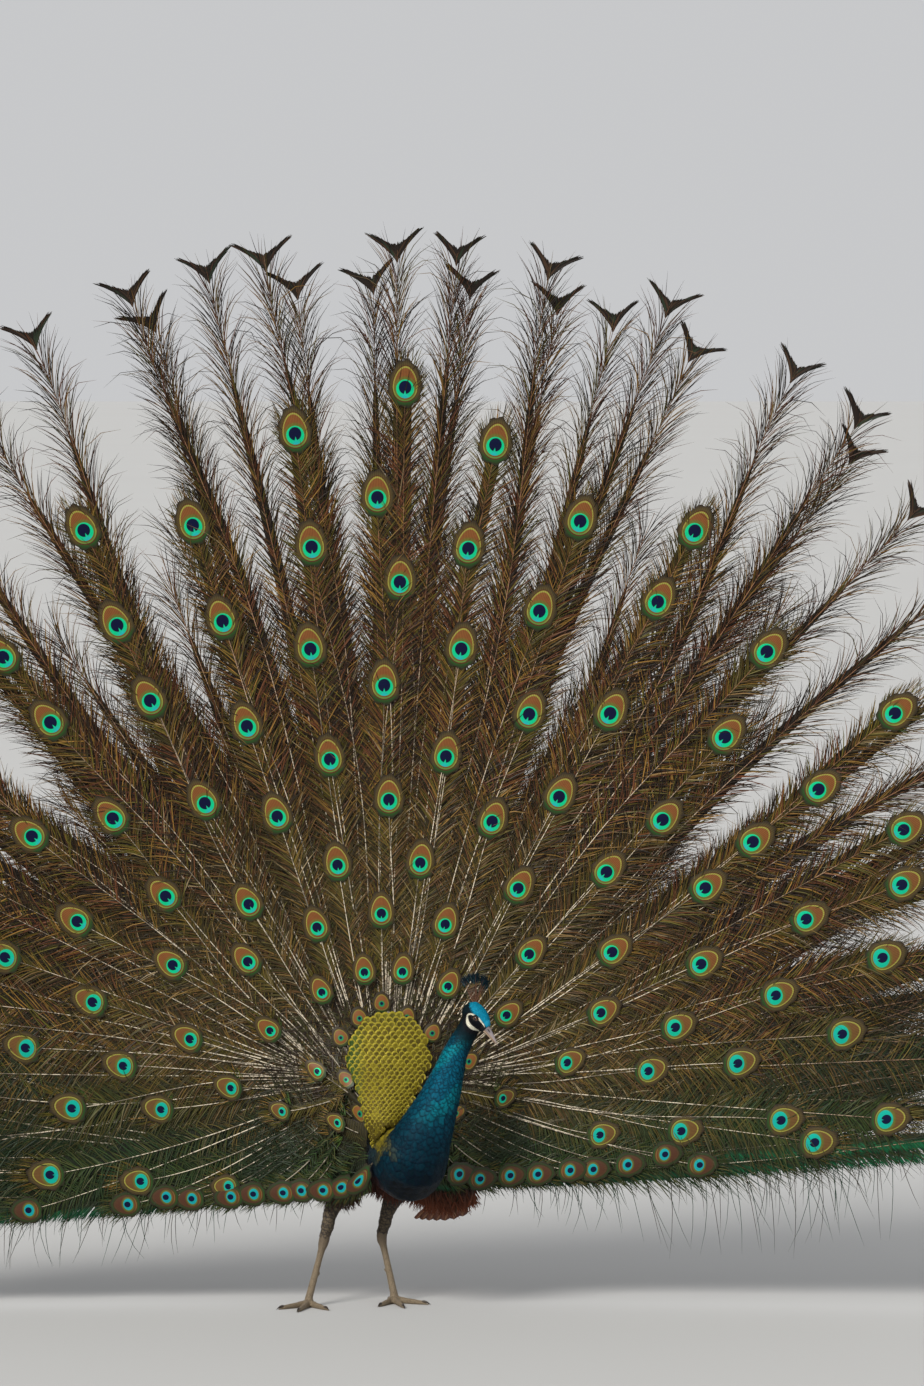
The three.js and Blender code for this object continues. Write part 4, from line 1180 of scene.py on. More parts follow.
# soft skin on the body, scales on the legs
def makeSkinMaterial():
    material, tree, shader = newMaterial("skin", Roughness=0.62)
    where = addNode(tree, "ShaderNodeTexCoord").outputs["Object"]
    stretched = addNode(tree, "ShaderNodeMapping", {"Vector": where, "Scale": (1.0, 1.0, 1.5)})
    inputs = {"Vector": stretched.outputs[0], "Scale": 290.0}
    cells = addNode(tree, "ShaderNodeTexVoronoi", inputs, feature="DISTANCE_TO_EDGE")
    seam = times(tree, between(tree, cells.outputs[0], 0.0, 0.1, 1.0, 0.0), readValue(tree, "scaled"))
    colour = blend(tree, times(tree, seam, 0.6), mottled(tree, faceTint(tree), 420.0, 0.22), plumage["seam"])
    tree.links.new(colour, shader.inputs["Base Color"])
    height = minus(tree, times(tree, noise(tree, 900.0, 3.0, Vector=where), 0.4), seam)
    addBump(tree, shader, height, 0.6, 0.0006)
    return material


addMesh(
    "skin", skinForm["points"], skinForm["faces"], makeSkinMaterial(), "blue", flesh,
    # the tint holds bodyColour's painted highlight and painted shade on the neck and breast
    tint=bodyColour(skinForm["points"], skinForm["normals"]),
    scaled=fade(skinForm["points"][:, 2], 112, 128), **facePlaces(skinForm["points"]),
)
print("skin:", len(skinForm["points"]), "points")


def treeOf(form):
    return BVHTree.FromPolygons(form["points"].tolist(), form["faces"].tolist())


# nearest points of a form, with the normals there
def onForm(tree, points):
    found = [tree.find_nearest(point)[:2] for point in points.reshape(-1, 3).tolist()]
    spots, normals = (np.array(values).reshape(points.shape) for values in zip(*found))
    return spots, normals


# spread roots over a form, about one in each square of the spacing that spacingAt gives
def spreadRoots(form, spacingAt, count=160000):
    corner = form["points"][form["faces"]]
    area = np.linalg.norm(np.cross(corner[:, 2] - corner[:, 0], corner[:, 3] - corner[:, 1]), axis=1)
    middle = corner.mean(1)
    spacing = spacingAt(middle)
    weight = np.where(spacing > 0, area / np.maximum(spacing, 0.1) ** 2, 0)
    pick = luck.choice(len(middle), count, p=weight / weight.sum())
    a, b = luck.uniform(0, 1, (2, count, 1))
    spots = mix(mix(corner[pick, 0], corner[pick, 1], a), mix(corner[pick, 3], corner[pick, 2], a), b)
    gap = spacing[pick]
    level = np.round(np.log(gap) / 0.12)
    cell = np.floor(spots / np.exp(level * 0.12)[:, None] + luck.uniform(0, 1, 3))
    _, first = np.unique(np.column_stack([level, cell]), axis=0, return_index=True)
    chosen = np.sort(first)
    return spots[chosen], form["normals"][form["faces"][pick[chosen], 0]], gap[chosen]


quill = {
    "share": np.array([0, 0.3, 0.6, 0.85, 1.0]), "width": np.array([0.5, 0.95, 1.0, 0.72, 0.16]),
    "lift": np.array([-0.2, 0.35, 0.65, 0.9, 1.0]),
}


# small curved vanes lying along a form
def makeQuills(tree, roots, lie, length, width, lift, ragged):
    _, normal = onForm(tree, roots)
    lie = unit(lie - normal * (lie * normal).sum(-1, keepdims=True))
    lie = unit(lie + np.cross(normal, lie) * luck.normal(0, ragged, len(roots))[:, None])
    side = unit(np.cross(normal, lie))
    across = np.array([-1.0, 0.0, 1.0])
    along = quill["share"] * length[:, None]
    half = (width / 2)[:, None, None] * quill["width"][:, None]
    points = (roots[:, None] + lie[:, None] * along[..., None])[:, :, None]
    points, normal = onForm(tree, points + side[:, None, None] * (half * across)[..., None])
    height = lift[:, None, None] * (quill["lift"][:, None] - 0.22 * np.abs(across)) + 0.25
    edge = np.maximum(quill["share"][:, None] ** 3, np.abs(across) * 0.85)[None]
    values = {"across": half * np.abs(across), "along": along[..., None], "edge": edge}
    return points + normal * height[..., None], values


# vanes whose tint darkens or brightens towards their rim
def plumeMaterial(name, rim, rimShare, spacing, **values):
    edges = [((0.45, 0.98), rimShare, rim, None)]
    return vaneMaterial(name, (spacing, 0.7), (0.3, (0.004, 0.005, 0.006)), edges, **values)


coat = {
    # spacing and length of the feathers from the tail to the head
    "stations": [0, 3, 6, 8, 10, 12, 13], "spacing": [13, 13, 11, 8.5, 6.0, 4.4, 3.6],
    "overStations": [0, 3, 6, 9, 13], "over": [2.6, 2.4, 2.4, 2.7, 2.8],
    "thighStations": [0.7, 3], "thighSpacing": [10, 4.5], "headSpacing": 2.1, "mouth": 16.5,
    "bareBelow": 126,
    "lid": {"middle": (0, 4.5), "size": (8.0, 7.6), "turn": 0},
    "wide": 1.75, "lift": 2.4, "headLift": 0.55, "rim": paint(2, 18, 36),
}


def bodySpacing(points):
    station, _, _ = nearestOnLine(points, bodyLine)
    spacing = np.interp(station, coat["stations"], coat["spacing"])
    for line in thighs.values():
        along, away, _ = nearestOnLine(points, line)
        onThigh = (away < 46) & (along > 0.7) & (points[:, 2] < 214)
        spacing = np.where(onThigh, np.interp(along, coat["thighStations"], coat["thighSpacing"]), spacing)
    along, right, up = headPlace(points)
    onHead = headShare(points)
    spacing = mix(spacing, coat["headSpacing"], onHead)
    ring, orbit, lid = (spotMask(along, up, spot) for spot in (marks["ring"], marks["orbit"], coat["lid"]))
    isBare = np.maximum(ring * (1 - orbit), lid) > 0.4
    isBare = (isBare & (abs(right) > 4) | (along > coat["mouth"])) & (onHead > 0.5)
    return np.where((points[:, 2] < coat["bareBelow"]) | isBare, 0, spacing)


# the way the feathers lie: back along the body, down the thighs, back over the head
def bodyLie(points):
    lie = -nearestOnLine(points, bodyLine)[2]
    for line in thighs.values():
        along, away, down = nearestOnLine(points, line)
        onThigh = fade(away, 38, 52) * smooth(along, 0.4, 1.2) * (points[:, 2] < 220)
        lie = unit(lie + (down - lie) * onThigh[:, None])
    return unit(mix(lie, -gaze - 0.25 * headUp, headShare(points)[:, None]))


# flat layout of the body for the bake: round its line, from the tail to the head, with the thighs beside it
def bodySheet(points):
    station, _, direction = nearestOnLine(points, bodyLine)
    away = points - onLine(bodyLine, station)
    up = unit(np.cross(direction, bodySide))
    turn = np.arctan2((away * bodySide).sum(-1), (away * up).sum(-1)) / math.pi
    places = sheet(0.3 + 0.28 * turn, 0.03 + 0.94 * station / 13)
    for middle, line in zip((0.7, 0.9), thighs.values()):
        along, gap, _ = nearestOnLine(points, line)
        core = onLine(line, along)
        turn = np.arctan2(points[:, 0] - core[:, 0], -(points[:, 1] - core[:, 1])) / math.pi
        onThigh = (points[:, 2] < 214) & (gap < 46) & (along > 0.7)
        places = np.where(onThigh[:, None], sheet(middle + 0.075 * turn, 0.05 + 0.3 * along), places)
    return places


def makeBodyFeathers():
    roots, normals, gap = spreadRoots(skinForm, bodySpacing)
    count = len(roots)
    onHead = headShare(roots)
    over = np.interp(nearestOnLine(roots, bodyLine)[0], coat["overStations"], coat["over"])
    length = gap * over * luck.uniform(0.85, 1.15, count)
    width = gap * coat["wide"] * luck.uniform(0.85, 1.15, count)
    lift = mix(coat["lift"] * np.clip(gap / 9, 0.5, 1.1), coat["headLift"], onHead)
    lift = lift * luck.uniform(0.7, 1.25, count)
    points, values = makeQuills(treeOf(skinForm), roots, bodyLie(roots), length, width, lift, 0.09)
    # the tint holds bodyColour's painted highlight and painted shade on the neck and breast
    tint = bodyColour(roots, normals) * luck.uniform(0.82, 1.2, (count, 1))
    values = {**values, "tint": tint[:, None, None], **facePlaces(points)}
    bake = patches(bodySheet(roots), 5, 3)
    isFace = onHead > 0.3
    for name, chosen, rimShare, tintOf in (
        ("body_feathers", ~isFace, 0.75, None), ("head_feathers", isFace, 0.3, faceTint),
    ):
        looks = {"Roughness": 0.5, "Metallic": 0.2, "Specular IOR Level": 0.08}
        material = plumeMaterial(name, coat["rim"], rimShare, 1.3, tint=tintOf, **looks)
        own = {key: value[chosen] if len(value) == count else value for key, value in values.items()}
        addGrids(name, points[chosen], material, "blue", (), bake[chosen], **own)
    print("body feathers:", count)


makeBodyFeathers()

eyeball = {
    "rows": 20, "columns": 32, "sunk": 0.25, "pupil": paint(4, 4, 5), "rim": paint(24, 16, 12),
    "iris": [paint(70, 36, 18), paint(120, 70, 34)], "pupilEdge": (0.135, 0.15), "irisEdge": (0.27, 0.31),
}


# a ball whose rows start at the pole; tall is 0 there and 1 at the other end
def ball(middle, radius, pole):
    side = unit(np.cross(pole, [0.1, 0.2, 1.0]))
    other = np.cross(pole, side)
    tall = np.linspace(0.0005, math.pi - 0.0005, eyeball["rows"])[:, None]
    turn = roundTurn(eyeball["columns"])[None]
    ring = (side * np.cos(turn)[..., None] + other * np.sin(turn)[..., None]) * np.sin(tall)[..., None]
    return middle + radius * (pole * np.cos(tall)[..., None] + ring), tall / math.pi


def makeEyeBalls():
    material, tree, shader = newMaterial("eye", Roughness=0.05, **{"Coat Weight": 1.0})
    tall = readValue(tree, "tall")
    iris = blend(tree, noise(tree, 60.0, 3.0), *eyeball["iris"])
    colour = blend(tree, between(tree, tall, *eyeball["pupilEdge"]), eyeball["pupil"], iris)
    colour = blend(tree, between(tree, tall, *eyeball["irisEdge"]), colour, eyeball["rim"])
    tree.links.new(colour, shader.inputs["Base Color"])
    for name, right in (("right", 1), ("left", -1)):
        outwards = unit(headRight * right + gaze * 0.22 + headUp * 0.05)
        middle = headPoint(0, right * head["eyeOut"], head["eyeUp"])
        points, share = ball(middle, head["eyeRadius"] - eyeball["sunk"], outwards)
        addGrids("eyeball_" + name, points[None], material, "eye", ["eye_" + name], wrap=True, tall=share)
        makeLid(name, outwards, middle)


lid = {"reach": 5.55, "thick": 0.75, "wide": 0.86, "open": 0.62, "count": 32, "sides": 8}


# a soft ring round the opening of the eye
def makeLid(name, outwards, middle):
    side = unit(np.cross(outwards, headUp))
    up = np.cross(side, outwards)
    turn, loop = roundTurn(lid["count"])[:, None], roundTurn(lid["sides"])[:, None]
    opening = lid["reach"] * (side * np.cos(turn) * lid["wide"] + up * np.sin(turn) * lid["open"])
    deep = np.sqrt(np.maximum(lid["reach"] ** 2 - (opening**2).sum(-1), 0.4))
    core = middle + opening + outwards * deep[:, None]
    bulge = unit(opening)[:, None] * np.cos(loop) * 1.5 + outwards * np.sin(loop) * 0.8
    points = core[:, None] + lid["thick"] * bulge
    points = np.concatenate([points, points[:1]])[None]
    material = tintMaterial("lid_" + name, 0.3, 900.0, Roughness=0.4)
    addGrids("lid_" + name, points, material, "skin", wrap=True, tint=plumage["black"] * 1.6)


bill = {
    "base": 17, "tip": 57, "lowerTip": 51, "halfWidth": 7.2, "ridge": 7, "gape": -3.5,
    "lowerDepth": 6, "droop": 9, "rows": 26, "columns": 20, "shrink": 0.25,
    "nostril": {"middle": (29.5, 1.0), "size": (3.8, 1.1), "turn": -14},
    "root": paint(88, 80, 84), "horn": paint(134, 125, 127), "pale": paint(160, 138, 118),
    "end": paint(96, 84, 80), "dark": paint(26, 22, 22),
}


def makeBill():
    material = tintMaterial("bill", 0.3, 300.0, Roughness=0.34)
    for name, tip in (("upper", bill["tip"]), ("lower", bill["lowerTip"])):
        isUpper = name == "upper"
        share = np.linspace(0, 1, bill["rows"])[:, None]
        along = mix(bill["base"] - 3, tip, share)
        wide = mix(bill["halfWidth"], 0.7, share**1.3) - bill["shrink"]
        seam = bill["gape"] - bill["droop"] * 0.7 * share**2 + (0.15 if isUpper else -0.15)
        culmen = seam + mix(bill["ridge"] - bill["gape"], 1.2, share**1.2)
        edge = culmen if isUpper else seam - mix(bill["lowerDepth"], 0.9, share)
        turn = np.linspace(0, math.pi, bill["columns"])[None]
        across = wide * np.cos(turn) * (0.86 + 0.14 * np.sin(turn))
        up = seam + (edge - seam) * np.sin(turn) ** 0.9
        # the round outside, then the flat inside
        along = along + 0 * across
        flat = headPoint(along, across * 0.98, seam + 0 * across)
        points = np.concatenate([headPoint(along, across, up), flat[:, ::-1]], 1)
        nostril = spotMask(along, up, bill["nostril"]) * isUpper
        pale = smooth(up, seam + 2.4, seam + 0.6) if isUpper else 1 + 0 * up
        tint = mix(bill["root"], bill["horn"], smooth(share, 0, 0.6)[..., None])
        tint = mix(tint, bill["pale"], np.concatenate([pale, 1 + 0 * pale], 1)[..., None])
        tint = mix(tint, bill["end"], 0.5 * smooth(share, 0.75, 1.0)[..., None])
        tint = mix(tint, bill["dark"], np.concatenate([nostril, nostril * 0], 1)[..., None])
        name = "bill_" + name
        addGrids(name + "_horn", points[None], material, "horn", [name], wrap=True, tint=tint)


crest = {
    "back": -21, "up": 15.5, "count": 24, "first": 4, "last": 70, "length": [50, 54], "stem": 0.38,
    "rows": 8, "sides": 5,
    "fanBarbs": 46, "barb": [7.5, 12.5], "open": 48, "curl": 22, "width": 0.6,
    "stems": [paint(112, 76, 58), paint(62, 44, 36)],
    "fan": paint(5, 30, 44), "greenFan": paint(6, 54, 54), "fanEnd": paint(5, 20, 30),
}


# thin bare stems with a small fan of barbs at each end
def makeCrest():
    count, rows, sides = crest["count"], crest["rows"], crest["sides"]
    share = np.linspace(0, 1, count)
    lean = mix(crest["first"], crest["last"], share) * degree + luck.normal(0, 1.6, count) * degree
    length = mix(*crest["length"], np.sin(share * math.pi)) * luck.uniform(0.92, 1.0, count)
    tilt = luck.uniform(-7, 7, count) * degree
    up, back, right = (value[:, None] for value in (np.cos(lean), np.sin(lean), np.sin(tilt)))
    aim = unit(headUp * up - gaze * back + headRight * right)
    behind = crest["back"] + luck.uniform(-3, 3, count)
    root = headPoint(behind, luck.uniform(-3, 3, count), crest["up"] + 0 * share)
    step = np.linspace(0, 1, rows)
    bow = np.sin(step * math.pi)[None, :, None] * (headRight * 0.8)
    path = root[:, None] + aim[:, None] * (length[:, None] * step)[..., None]
    path = path + bow * np.sign(tilt)[:, None, None]
    side = unit(np.cross(aim, headRight))
    points = tubes(path, side[:, None], headRight, crest["stem"], sides)
    tint = mix(*crest["stems"], step[:, None, None])
    material = tintMaterial("crestStem", 0.3, 300.0, Roughness=0.5)
    bake = patches(sheet(0.1 + 0.8 * share, 0.2), rows, sides)
    addGrids("crest_stems", points, material, "blue", ["crest"], bake, wrap=True, tint=tint)
    total = count * crest["fanBarbs"]
    index = np.repeat(np.arange(count), crest["fanBarbs"])
    spread = luck.uniform(-1, 1, total)
    start = path[index, -1] - aim[index] * luck.uniform(4, 13, total)[:, None]
    front = np.broadcast_to(headRight, (total, 3))
    points, step = ribbons(
        start, aim[index], side[index], front, luck.uniform(*crest["barb"], total),
        spread * crest["open"] * degree, -spread * crest["curl"] * degree,
        crest["width"] * luck.uniform(0.8, 1.3, total), lift=luck.uniform(-0.15, 0.15, total),
    )
    tone = pickColours(total, crest, {"fan": 0.6, "greenFan": 1})
    tint = mix(tone[:, None], crest["fanEnd"], step[:, None])
    material = tintMaterial("crestFan", 0.3, 300.0, Roughness=0.4, Metallic=0.3)
    roots = sheet(0.1 + 0.8 * share[index], 0.6 + 0.1 * spread)
    addRibbons("crest_fans", points, tint, roots, material, "blue")


makeEyeBalls()
makeBill()
makeCrest()

toes = {
    "feet": {"right": ([-133, -18], [-48, -12, 30, 170]), "left": ([14, 38], [-22, 12, 62, 196])},
    "lengths": [62, 78, 60, 34], "claws": [13, 15, 13, 11],
    "rows": 9, "sides": 10, "height": 4.2, "girth": 2.7,
    "root": paint(70, 60, 52), "tip": paint(26, 22, 20),
}


def makeClaws():
    share, turn = np.linspace(0, 1, toes["rows"])[:, None], roundTurn(toes["sides"])[:, None]
    up = np.array([0, 0, 1])
    for name, (origin, headings) in toes["feet"].items():
        points = []
        for heading, length, claw in zip(headings, toes["lengths"], toes["claws"]):
            aim = np.array([math.sin(heading * degree), -math.cos(heading * degree), 0])
            start = np.array([*origin, toes["height"]]) + aim * (length - 5)
            path = start + aim * (claw + 4) * share + up * (1.6 * np.sin(share * math.pi) - 3.4 * share**2)
            ring = np.array([-aim[1], aim[0], 0]) * np.cos(turn) * 0.8 + up * np.sin(turn)
            points.append(path[:, None] + ring * (toes["girth"] * (1 - share**1.5) + 0.25)[..., None])
        points = np.array(points)
        points[..., 2] = np.maximum(points[..., 2], 0.1)
        material = tintMaterial("claw_" + name, 0.3, 300.0, Roughness=0.35)
        tint = mix(toes["root"], toes["tip"], share[..., None])
        addGrids("claws_" + name, points, material, "horn", wrap=True, tint=tint)


makeClaws()

# the shield of gold scales; reach: how far its front may stand from a scale's own root
mantle = {
    "middle": 5, "tip": [-12, 262], "shoulder": 420, "top": 503, "halfWidth": 71, "centre": [5, 60],
    "spacing": [6.4, 12.6], "rowStep": 0.62, "length": 1.5, "width": 1.16, "rise": 9.0,
    "rows": 6, "columns": 5, "reach": 9,
    "gold": paint(84, 72, 8), "bright": paint(106, 94, 14), "green": paint(28, 68, 20),
    "rim": paint(154, 141, 38), "line": paint(26, 22, 6),
}


def mantleHalfWidth(height):
    low = np.clip((height - mantle["tip"][1]) / (mantle["shoulder"] - mantle["tip"][1]), 0, 1)
    high = np.clip((height - mantle["shoulder"]) / (mantle["top"] - mantle["shoulder"]), 0, 1)
    return mantle["halfWidth"] * (0.08 + 0.92 * low) * np.sqrt(1 - high**1.85)


# rows of scales from the tip up; the lower ones lie over the upper ones
def scaleRoots():
    roots, gap, row = [], [], 0
    bottom, top = mantle["tip"][1], mantle["top"]
    height = bottom + 4
    while height < top - 2:
        share = (height - bottom) / (top - bottom)
        step = mix(*mantle["spacing"], share)
        middle = mix(mantle["tip"][0], mantle["middle"], min(share * 2.1, 1))
        for x in np.arange(-16, 17) * step + (row % 2) * step / 2:
            if abs(x) < mantleHalfWidth(height):
                roots.append([middle + x, height])
                gap.append(step)
        height += step * mantle["rowStep"]
        row += 1
    roots, gap = np.array(roots)[::-1], np.array(gap)[::-1]
    return roots + luck.normal(0, 0.06, roots.shape) * gap[:, None], gap


# how far forward the front of the shield stands; beside it, as far as at the scale's own root
def mantleDepth(roots, flat):
    points, triangles = solidMesh("mantle")
    tree = BVHTree.FromPolygons((points * 1000 - shift).tolist(), triangles.tolist())

    def front(x, z):
        return tree.ray_cast((x, -600, z), (0, 1, 0))[0]

    depth = np.empty(flat.shape[:-1])
    for n, (x, z) in enumerate(roots.tolist()):
        own = (front(x, z) or tree.find_nearest((x, -40, z))[0])[1]
        for corner in np.ndindex(depth.shape[1:]):
            hit = front(*flat[(n, *corner)].tolist())
            depth[(n, *corner)] = own if hit is None or abs(hit[1] - own) > mantle["reach"] else hit[1]
    return depth


def makeScales():
    roots, gap = scaleRoots()
    count, rows, columns = len(roots), mantle["rows"], mantle["columns"]
    share, across = np.linspace(0, 1, rows)[:, None], np.linspace(-1, 1, columns)[None]
    outline = np.interp(share, [0, 0.35, 0.7, 0.9, 1], [0.5, 0.9, 1.0, 0.7, 0.18])
    aim = unit(roots - np.array(mantle["centre"]) + luck.normal(0, 3, roots.shape))
    reach = (share - 0.3) * mantle["length"] * gap[:, None, None]
    wide = across * outline * mantle["width"] * gap[:, None, None] / 2
    long, sideways = aim[:, None, None], np.stack([aim[:, 1], -aim[:, 0]], -1)[:, None, None]
    flat = roots[:, None, None] + long * reach[..., None] + sideways * wide[..., None]
    rise = mantle["rise"] * smooth(roots[:, 1], 268, 330)[:, None, None]
    lift = rise + 2.6 * share + 0.9 * (1 - across**2) - 1.3 * share**4
    points = np.stack([flat[..., 0], mantleDepth(roots, flat) - lift, flat[..., 1]], -1)
    tone = pickColours(count, mantle, {"bright": 0.3, "gold": 1})
    green = np.maximum(smooth(mantle["middle"] - roots[:, 0], 34, 66), 0.5 * smooth(roots[:, 1], 470, 520))
    tone = mix(tone, mantle["green"], 0.8 * green[:, None]) * luck.uniform(0.8, 1.15, (count, 1))
    edge = np.maximum(share**2.2, np.abs(across) * 0.9 * (share > 0.2))
    # dark gold with a bright arc inside a dark line
    material = vaneMaterial("goldScale", (1.1, 0.7), (0.25, (0.004, 0.004, 0.002)), [
        ((0.5, 0.66), 0.9, mantle["rim"], (0.97, 0.9)), ((0.91, 0.98), 1.0, mantle["line"], None),
    ], Roughness=0.36, Metallic=0.4)
    bake = patches(sheet(0.5 + (roots[:, 0] - 8) / 400, (roots[:, 1] - 240) / 320), rows, columns)
    addGrids(
        "mantle_scales", points, material, "gold", ["mantle"], bake,
        tint=tone[:, None, None], across=np.abs(wide), along=reach, edge=edge,
    )
    print("gold scales:", count)


makeScales()

# green feathers along the lower edges, and the hairs that hang below them
sword = {
    "from": 70, "reach": 1330, "width": 40, "barbs": 1700, "barbWidth": 2.0,
    "bands": {"right": [0], "left": [0, -26]},
    "green": paint(4, 78, 46), "bright": paint(16, 104, 62), "dark": paint(14, 44, 28),
    "shade": paint(38, 44, 27), "brown": barb["brown"],
    "hairs": {"right": 150, "left": 170},
    "hairLength": {"right": [30, 165], "left": [50, 190]},
    "hairFrom": 120, "hairTo": 1270, "hairWidth": 1.15,
}


# directions at places on a lower edge: outwards, down and towards the front
def edgeWays(radius, angle):
    out = unit(fanPoint(radius + 5, angle) - fanPoint(radius - 5, angle))
    return out, np.broadcast_to([0.0, 0, -1.0], out.shape), np.broadcast_to([0.0, -1.0, 0], out.shape)


def swordBand(angle, band):
    count = sword["barbs"]
    radius = mix(sword["from"], sword["reach"], np.sort(luck.uniform(0, 1, count)))
    share = (radius - sword["from"]) / (sword["reach"] - sword["from"])
    root = fanPoint(radius, angle, 2.0 + band * -0.12 + luck.uniform(-1, 1, count))
    root[:, 2] += 2.0 - band * 0.9
    depth = sword["width"] * np.sqrt(np.sin(math.pi * mix(0.08, 0.95, share)))
    points, step = ribbons(
        root, *edgeWays(radius, angle), depth * luck.uniform(1.02, 1.14, count),
        luck.normal(46, 3, count) * degree, luck.normal(6, 4, count) * degree,
        sword["barbWidth"] * luck.uniform(0.8, 1.2, count), lift=luck.uniform(-0.06, 0.06, count), roll=0.3,
    )
    tone = pickColours(count, sword, {"bright": 0.35, "green": 1}) * luck.uniform(0.7, 1.2, (count, 1))
    tone = mix(tone, sword["dark"], 0.6 * fade(radius, 300, 900)[:, None])
    tint = mix(sword["shade"], tone[:, None], smooth(step, 0.25, 0.6)[:, None])
    return points, tint * mix(1, 0.45, smooth(step, 0.8, 1.0))[:, None]


def edgeHairs(name, angle):
    count = sword["hairs"][name]
    radius = mix(sword["hairFrom"], sword["hairTo"], luck.uniform(0, 1, count))
    root = fanPoint(radius, angle, luck.uniform(-6, 10, count))
    length = luck.uniform(*sword["hairLength"][name], count) * mix(0.4, 1, smooth(radius, 150, 600))
    length = np.minimum(length, 0.75 * root[:, 2] - 20)
    points, _ = ribbons(
        root, *edgeWays(radius, angle), length, luck.normal(80, 7, count) * degree,
        luck.normal(10, 18, count) * degree, sword["hairWidth"], lift=luck.uniform(-0.2, 0.2, count),
    )
    tone = pickColours(count, sword, {"dark": 0.6, "brown": 1})
    return points, np.repeat(tone[:, None], points.shape[1], 1)


def makeSwords():
    material = tintMaterial("sword", 0.35, 120.0, Roughness=0.4, Metallic=0.2)
    for name, angle in (("right", fan["rightEdge"]), ("left", fan["leftEdge"])):
        sets = [swordBand(angle, band) for band in sword["bands"][name]] + [edgeHairs(name, angle)]
        points, tint = (np.concatenate(parts) for parts in zip(*sets))
        x, _, z = points[:, 0, 0].T
        roots = sheet(0.05 + 0.9 * abs(x) / 1450, (z - 80) / 600)
        addRibbons("train_edge_barbs_" + name, points, tint, roots, material, "green", ["train_edge_" + name])


makeSwords()

fork = {
    "barbs": 250, "half": 52, "width": 3.4, "dark": paint(30, 22, 16), "brown": paint(62, 44, 30),
    "green": paint(34, 44, 30),
}


# the forked tips: barbs from the last of the shaft to the hollow upper edge between two horns
def makeForks():
    count = len(forks) * fork["barbs"]
    index = np.repeat(np.arange(len(forks)), fork["barbs"])
    side = luck.choice([-1.0, 1.0], count)
    share = luck.uniform(0.02, 1, count)
    down = mix(luck.uniform(20, 44, count), 38, share)
    endSide = fork["half"] * share * luck.uniform(0.86, 1.06, count)
    endUp = down - 12 + 26 * share**1.3 + luck.normal(0, 1.2, count)
    endSide = endSide * np.where(side > 0, *luck.uniform(0.82, 1.08, (2, len(forks)))[:, index])
    lean = side * np.arctan2(endSide, endUp) + luck.normal(0, 7, len(forks))[index] * degree
    radius, angle = forks[index, 1] - down, forks[index, 0]
    lift = forks[index, 2] * fishtail["layer"] + luck.uniform(-1.2, 1.8, count)
    bow = side * 16 * share * degree
    points, step = ribbons(
        *fanFrame(radius, angle, lift), np.hypot(endSide, endUp), lean - bow, bow * 2,
        fork["width"] * luck.uniform(0.8, 1.3, count), lift=luck.uniform(-0.08, 0.08, count), roll=0.25,
    )
    tone = pickColours(count, fork, {"dark": 0.6, "brown": 0.85, "green": 1})
    tint = tone[:, None] * mix(1.2, 0.7, step)[:, None]
    material = tintMaterial("fork", 0.3, 160.0, Roughness=0.5)
    addRibbons("train_forks", points, tint, fanSheet(radius, angle), material, "rust")


makeForks()

quills = {"rows": 22, "columns": 7, "roundFrom": 0.82, "shaft": 0.2}


# long feathers: a shaft with a vane on either side
def longQuills(name, root, tip, wide, thin, half, colour, slot, replaced):
    count, rows, columns = len(root), quills["rows"], quills["columns"]
    share = np.linspace(0, 1, rows)[None, :, None]
    across = np.linspace(-1, 1, columns)[None, None]
    path = root[:, None, None] + (tip - root)[:, None, None] * share[..., None]
    end = np.sqrt(1 - ((share - quills["roundFrom"]) / (1 - quills["roundFrom"])).clip(0, 1) ** 2)
    width = half * mix(0.3, 1, smooth(share, 0, 0.3)) * end + 0.25
    offset = across * width * (1 + 0.04 * np.sin(share * 90 + across * 3))
    isShaft = np.abs(across) < quills["shaft"]
    dome = (0.08 * width) * (1 - across**2) + 0.8 * isShaft * (1 - share)
    points = path + wide[:, None, None] * offset[..., None] + thin[:, None, None] * dome[..., None]
    number = np.arange(count)[:, None, None]
    length = np.linalg.norm(tip - root, axis=-1)[:, None, None]
    flat = sheet((number + 0.5 + 0.42 * across) / count, 0.02 + 0.96 * share)
    material = plumeMaterial(name, paint(38, 30, 24), 0.35, 2.2, Roughness=0.6)
    addGrids(
        name, points, material, slot, replaced, flat,
        across=np.abs(offset), along=share * length, edge=np.abs(across) * 0.8 + 0.2 * share**6,
        tint=colour(share, across, number, isShaft[..., None]),
    )


tail = {
    "root": [-8, 214, 322], "feathers": 18, "reach": 390, "spread": 74, "lean": 0.36,
    "half": 37, "tilt": 7, "layer": -0.35,
    "low": paint(84, 72, 58), "high": paint(56, 48, 41), "end": paint(150, 134, 104),
    "shaft": paint(112, 98, 80),
}


def tailColour(share, across, number, isShaft):
    tone = mix(tail["low"], tail["high"], share[..., None]) * (0.8 + 0.4 * ((number * 5) % 7) / 7)[..., None]
    tone = mix(tone, tail["end"], 0.6 * smooth(share, 0.965, 1.0)[..., None])
    return np.where(isShaft, tail["shaft"], mix(tone, tone * 0.6, smooth(abs(across), 0.6, 1.0)[..., None]))


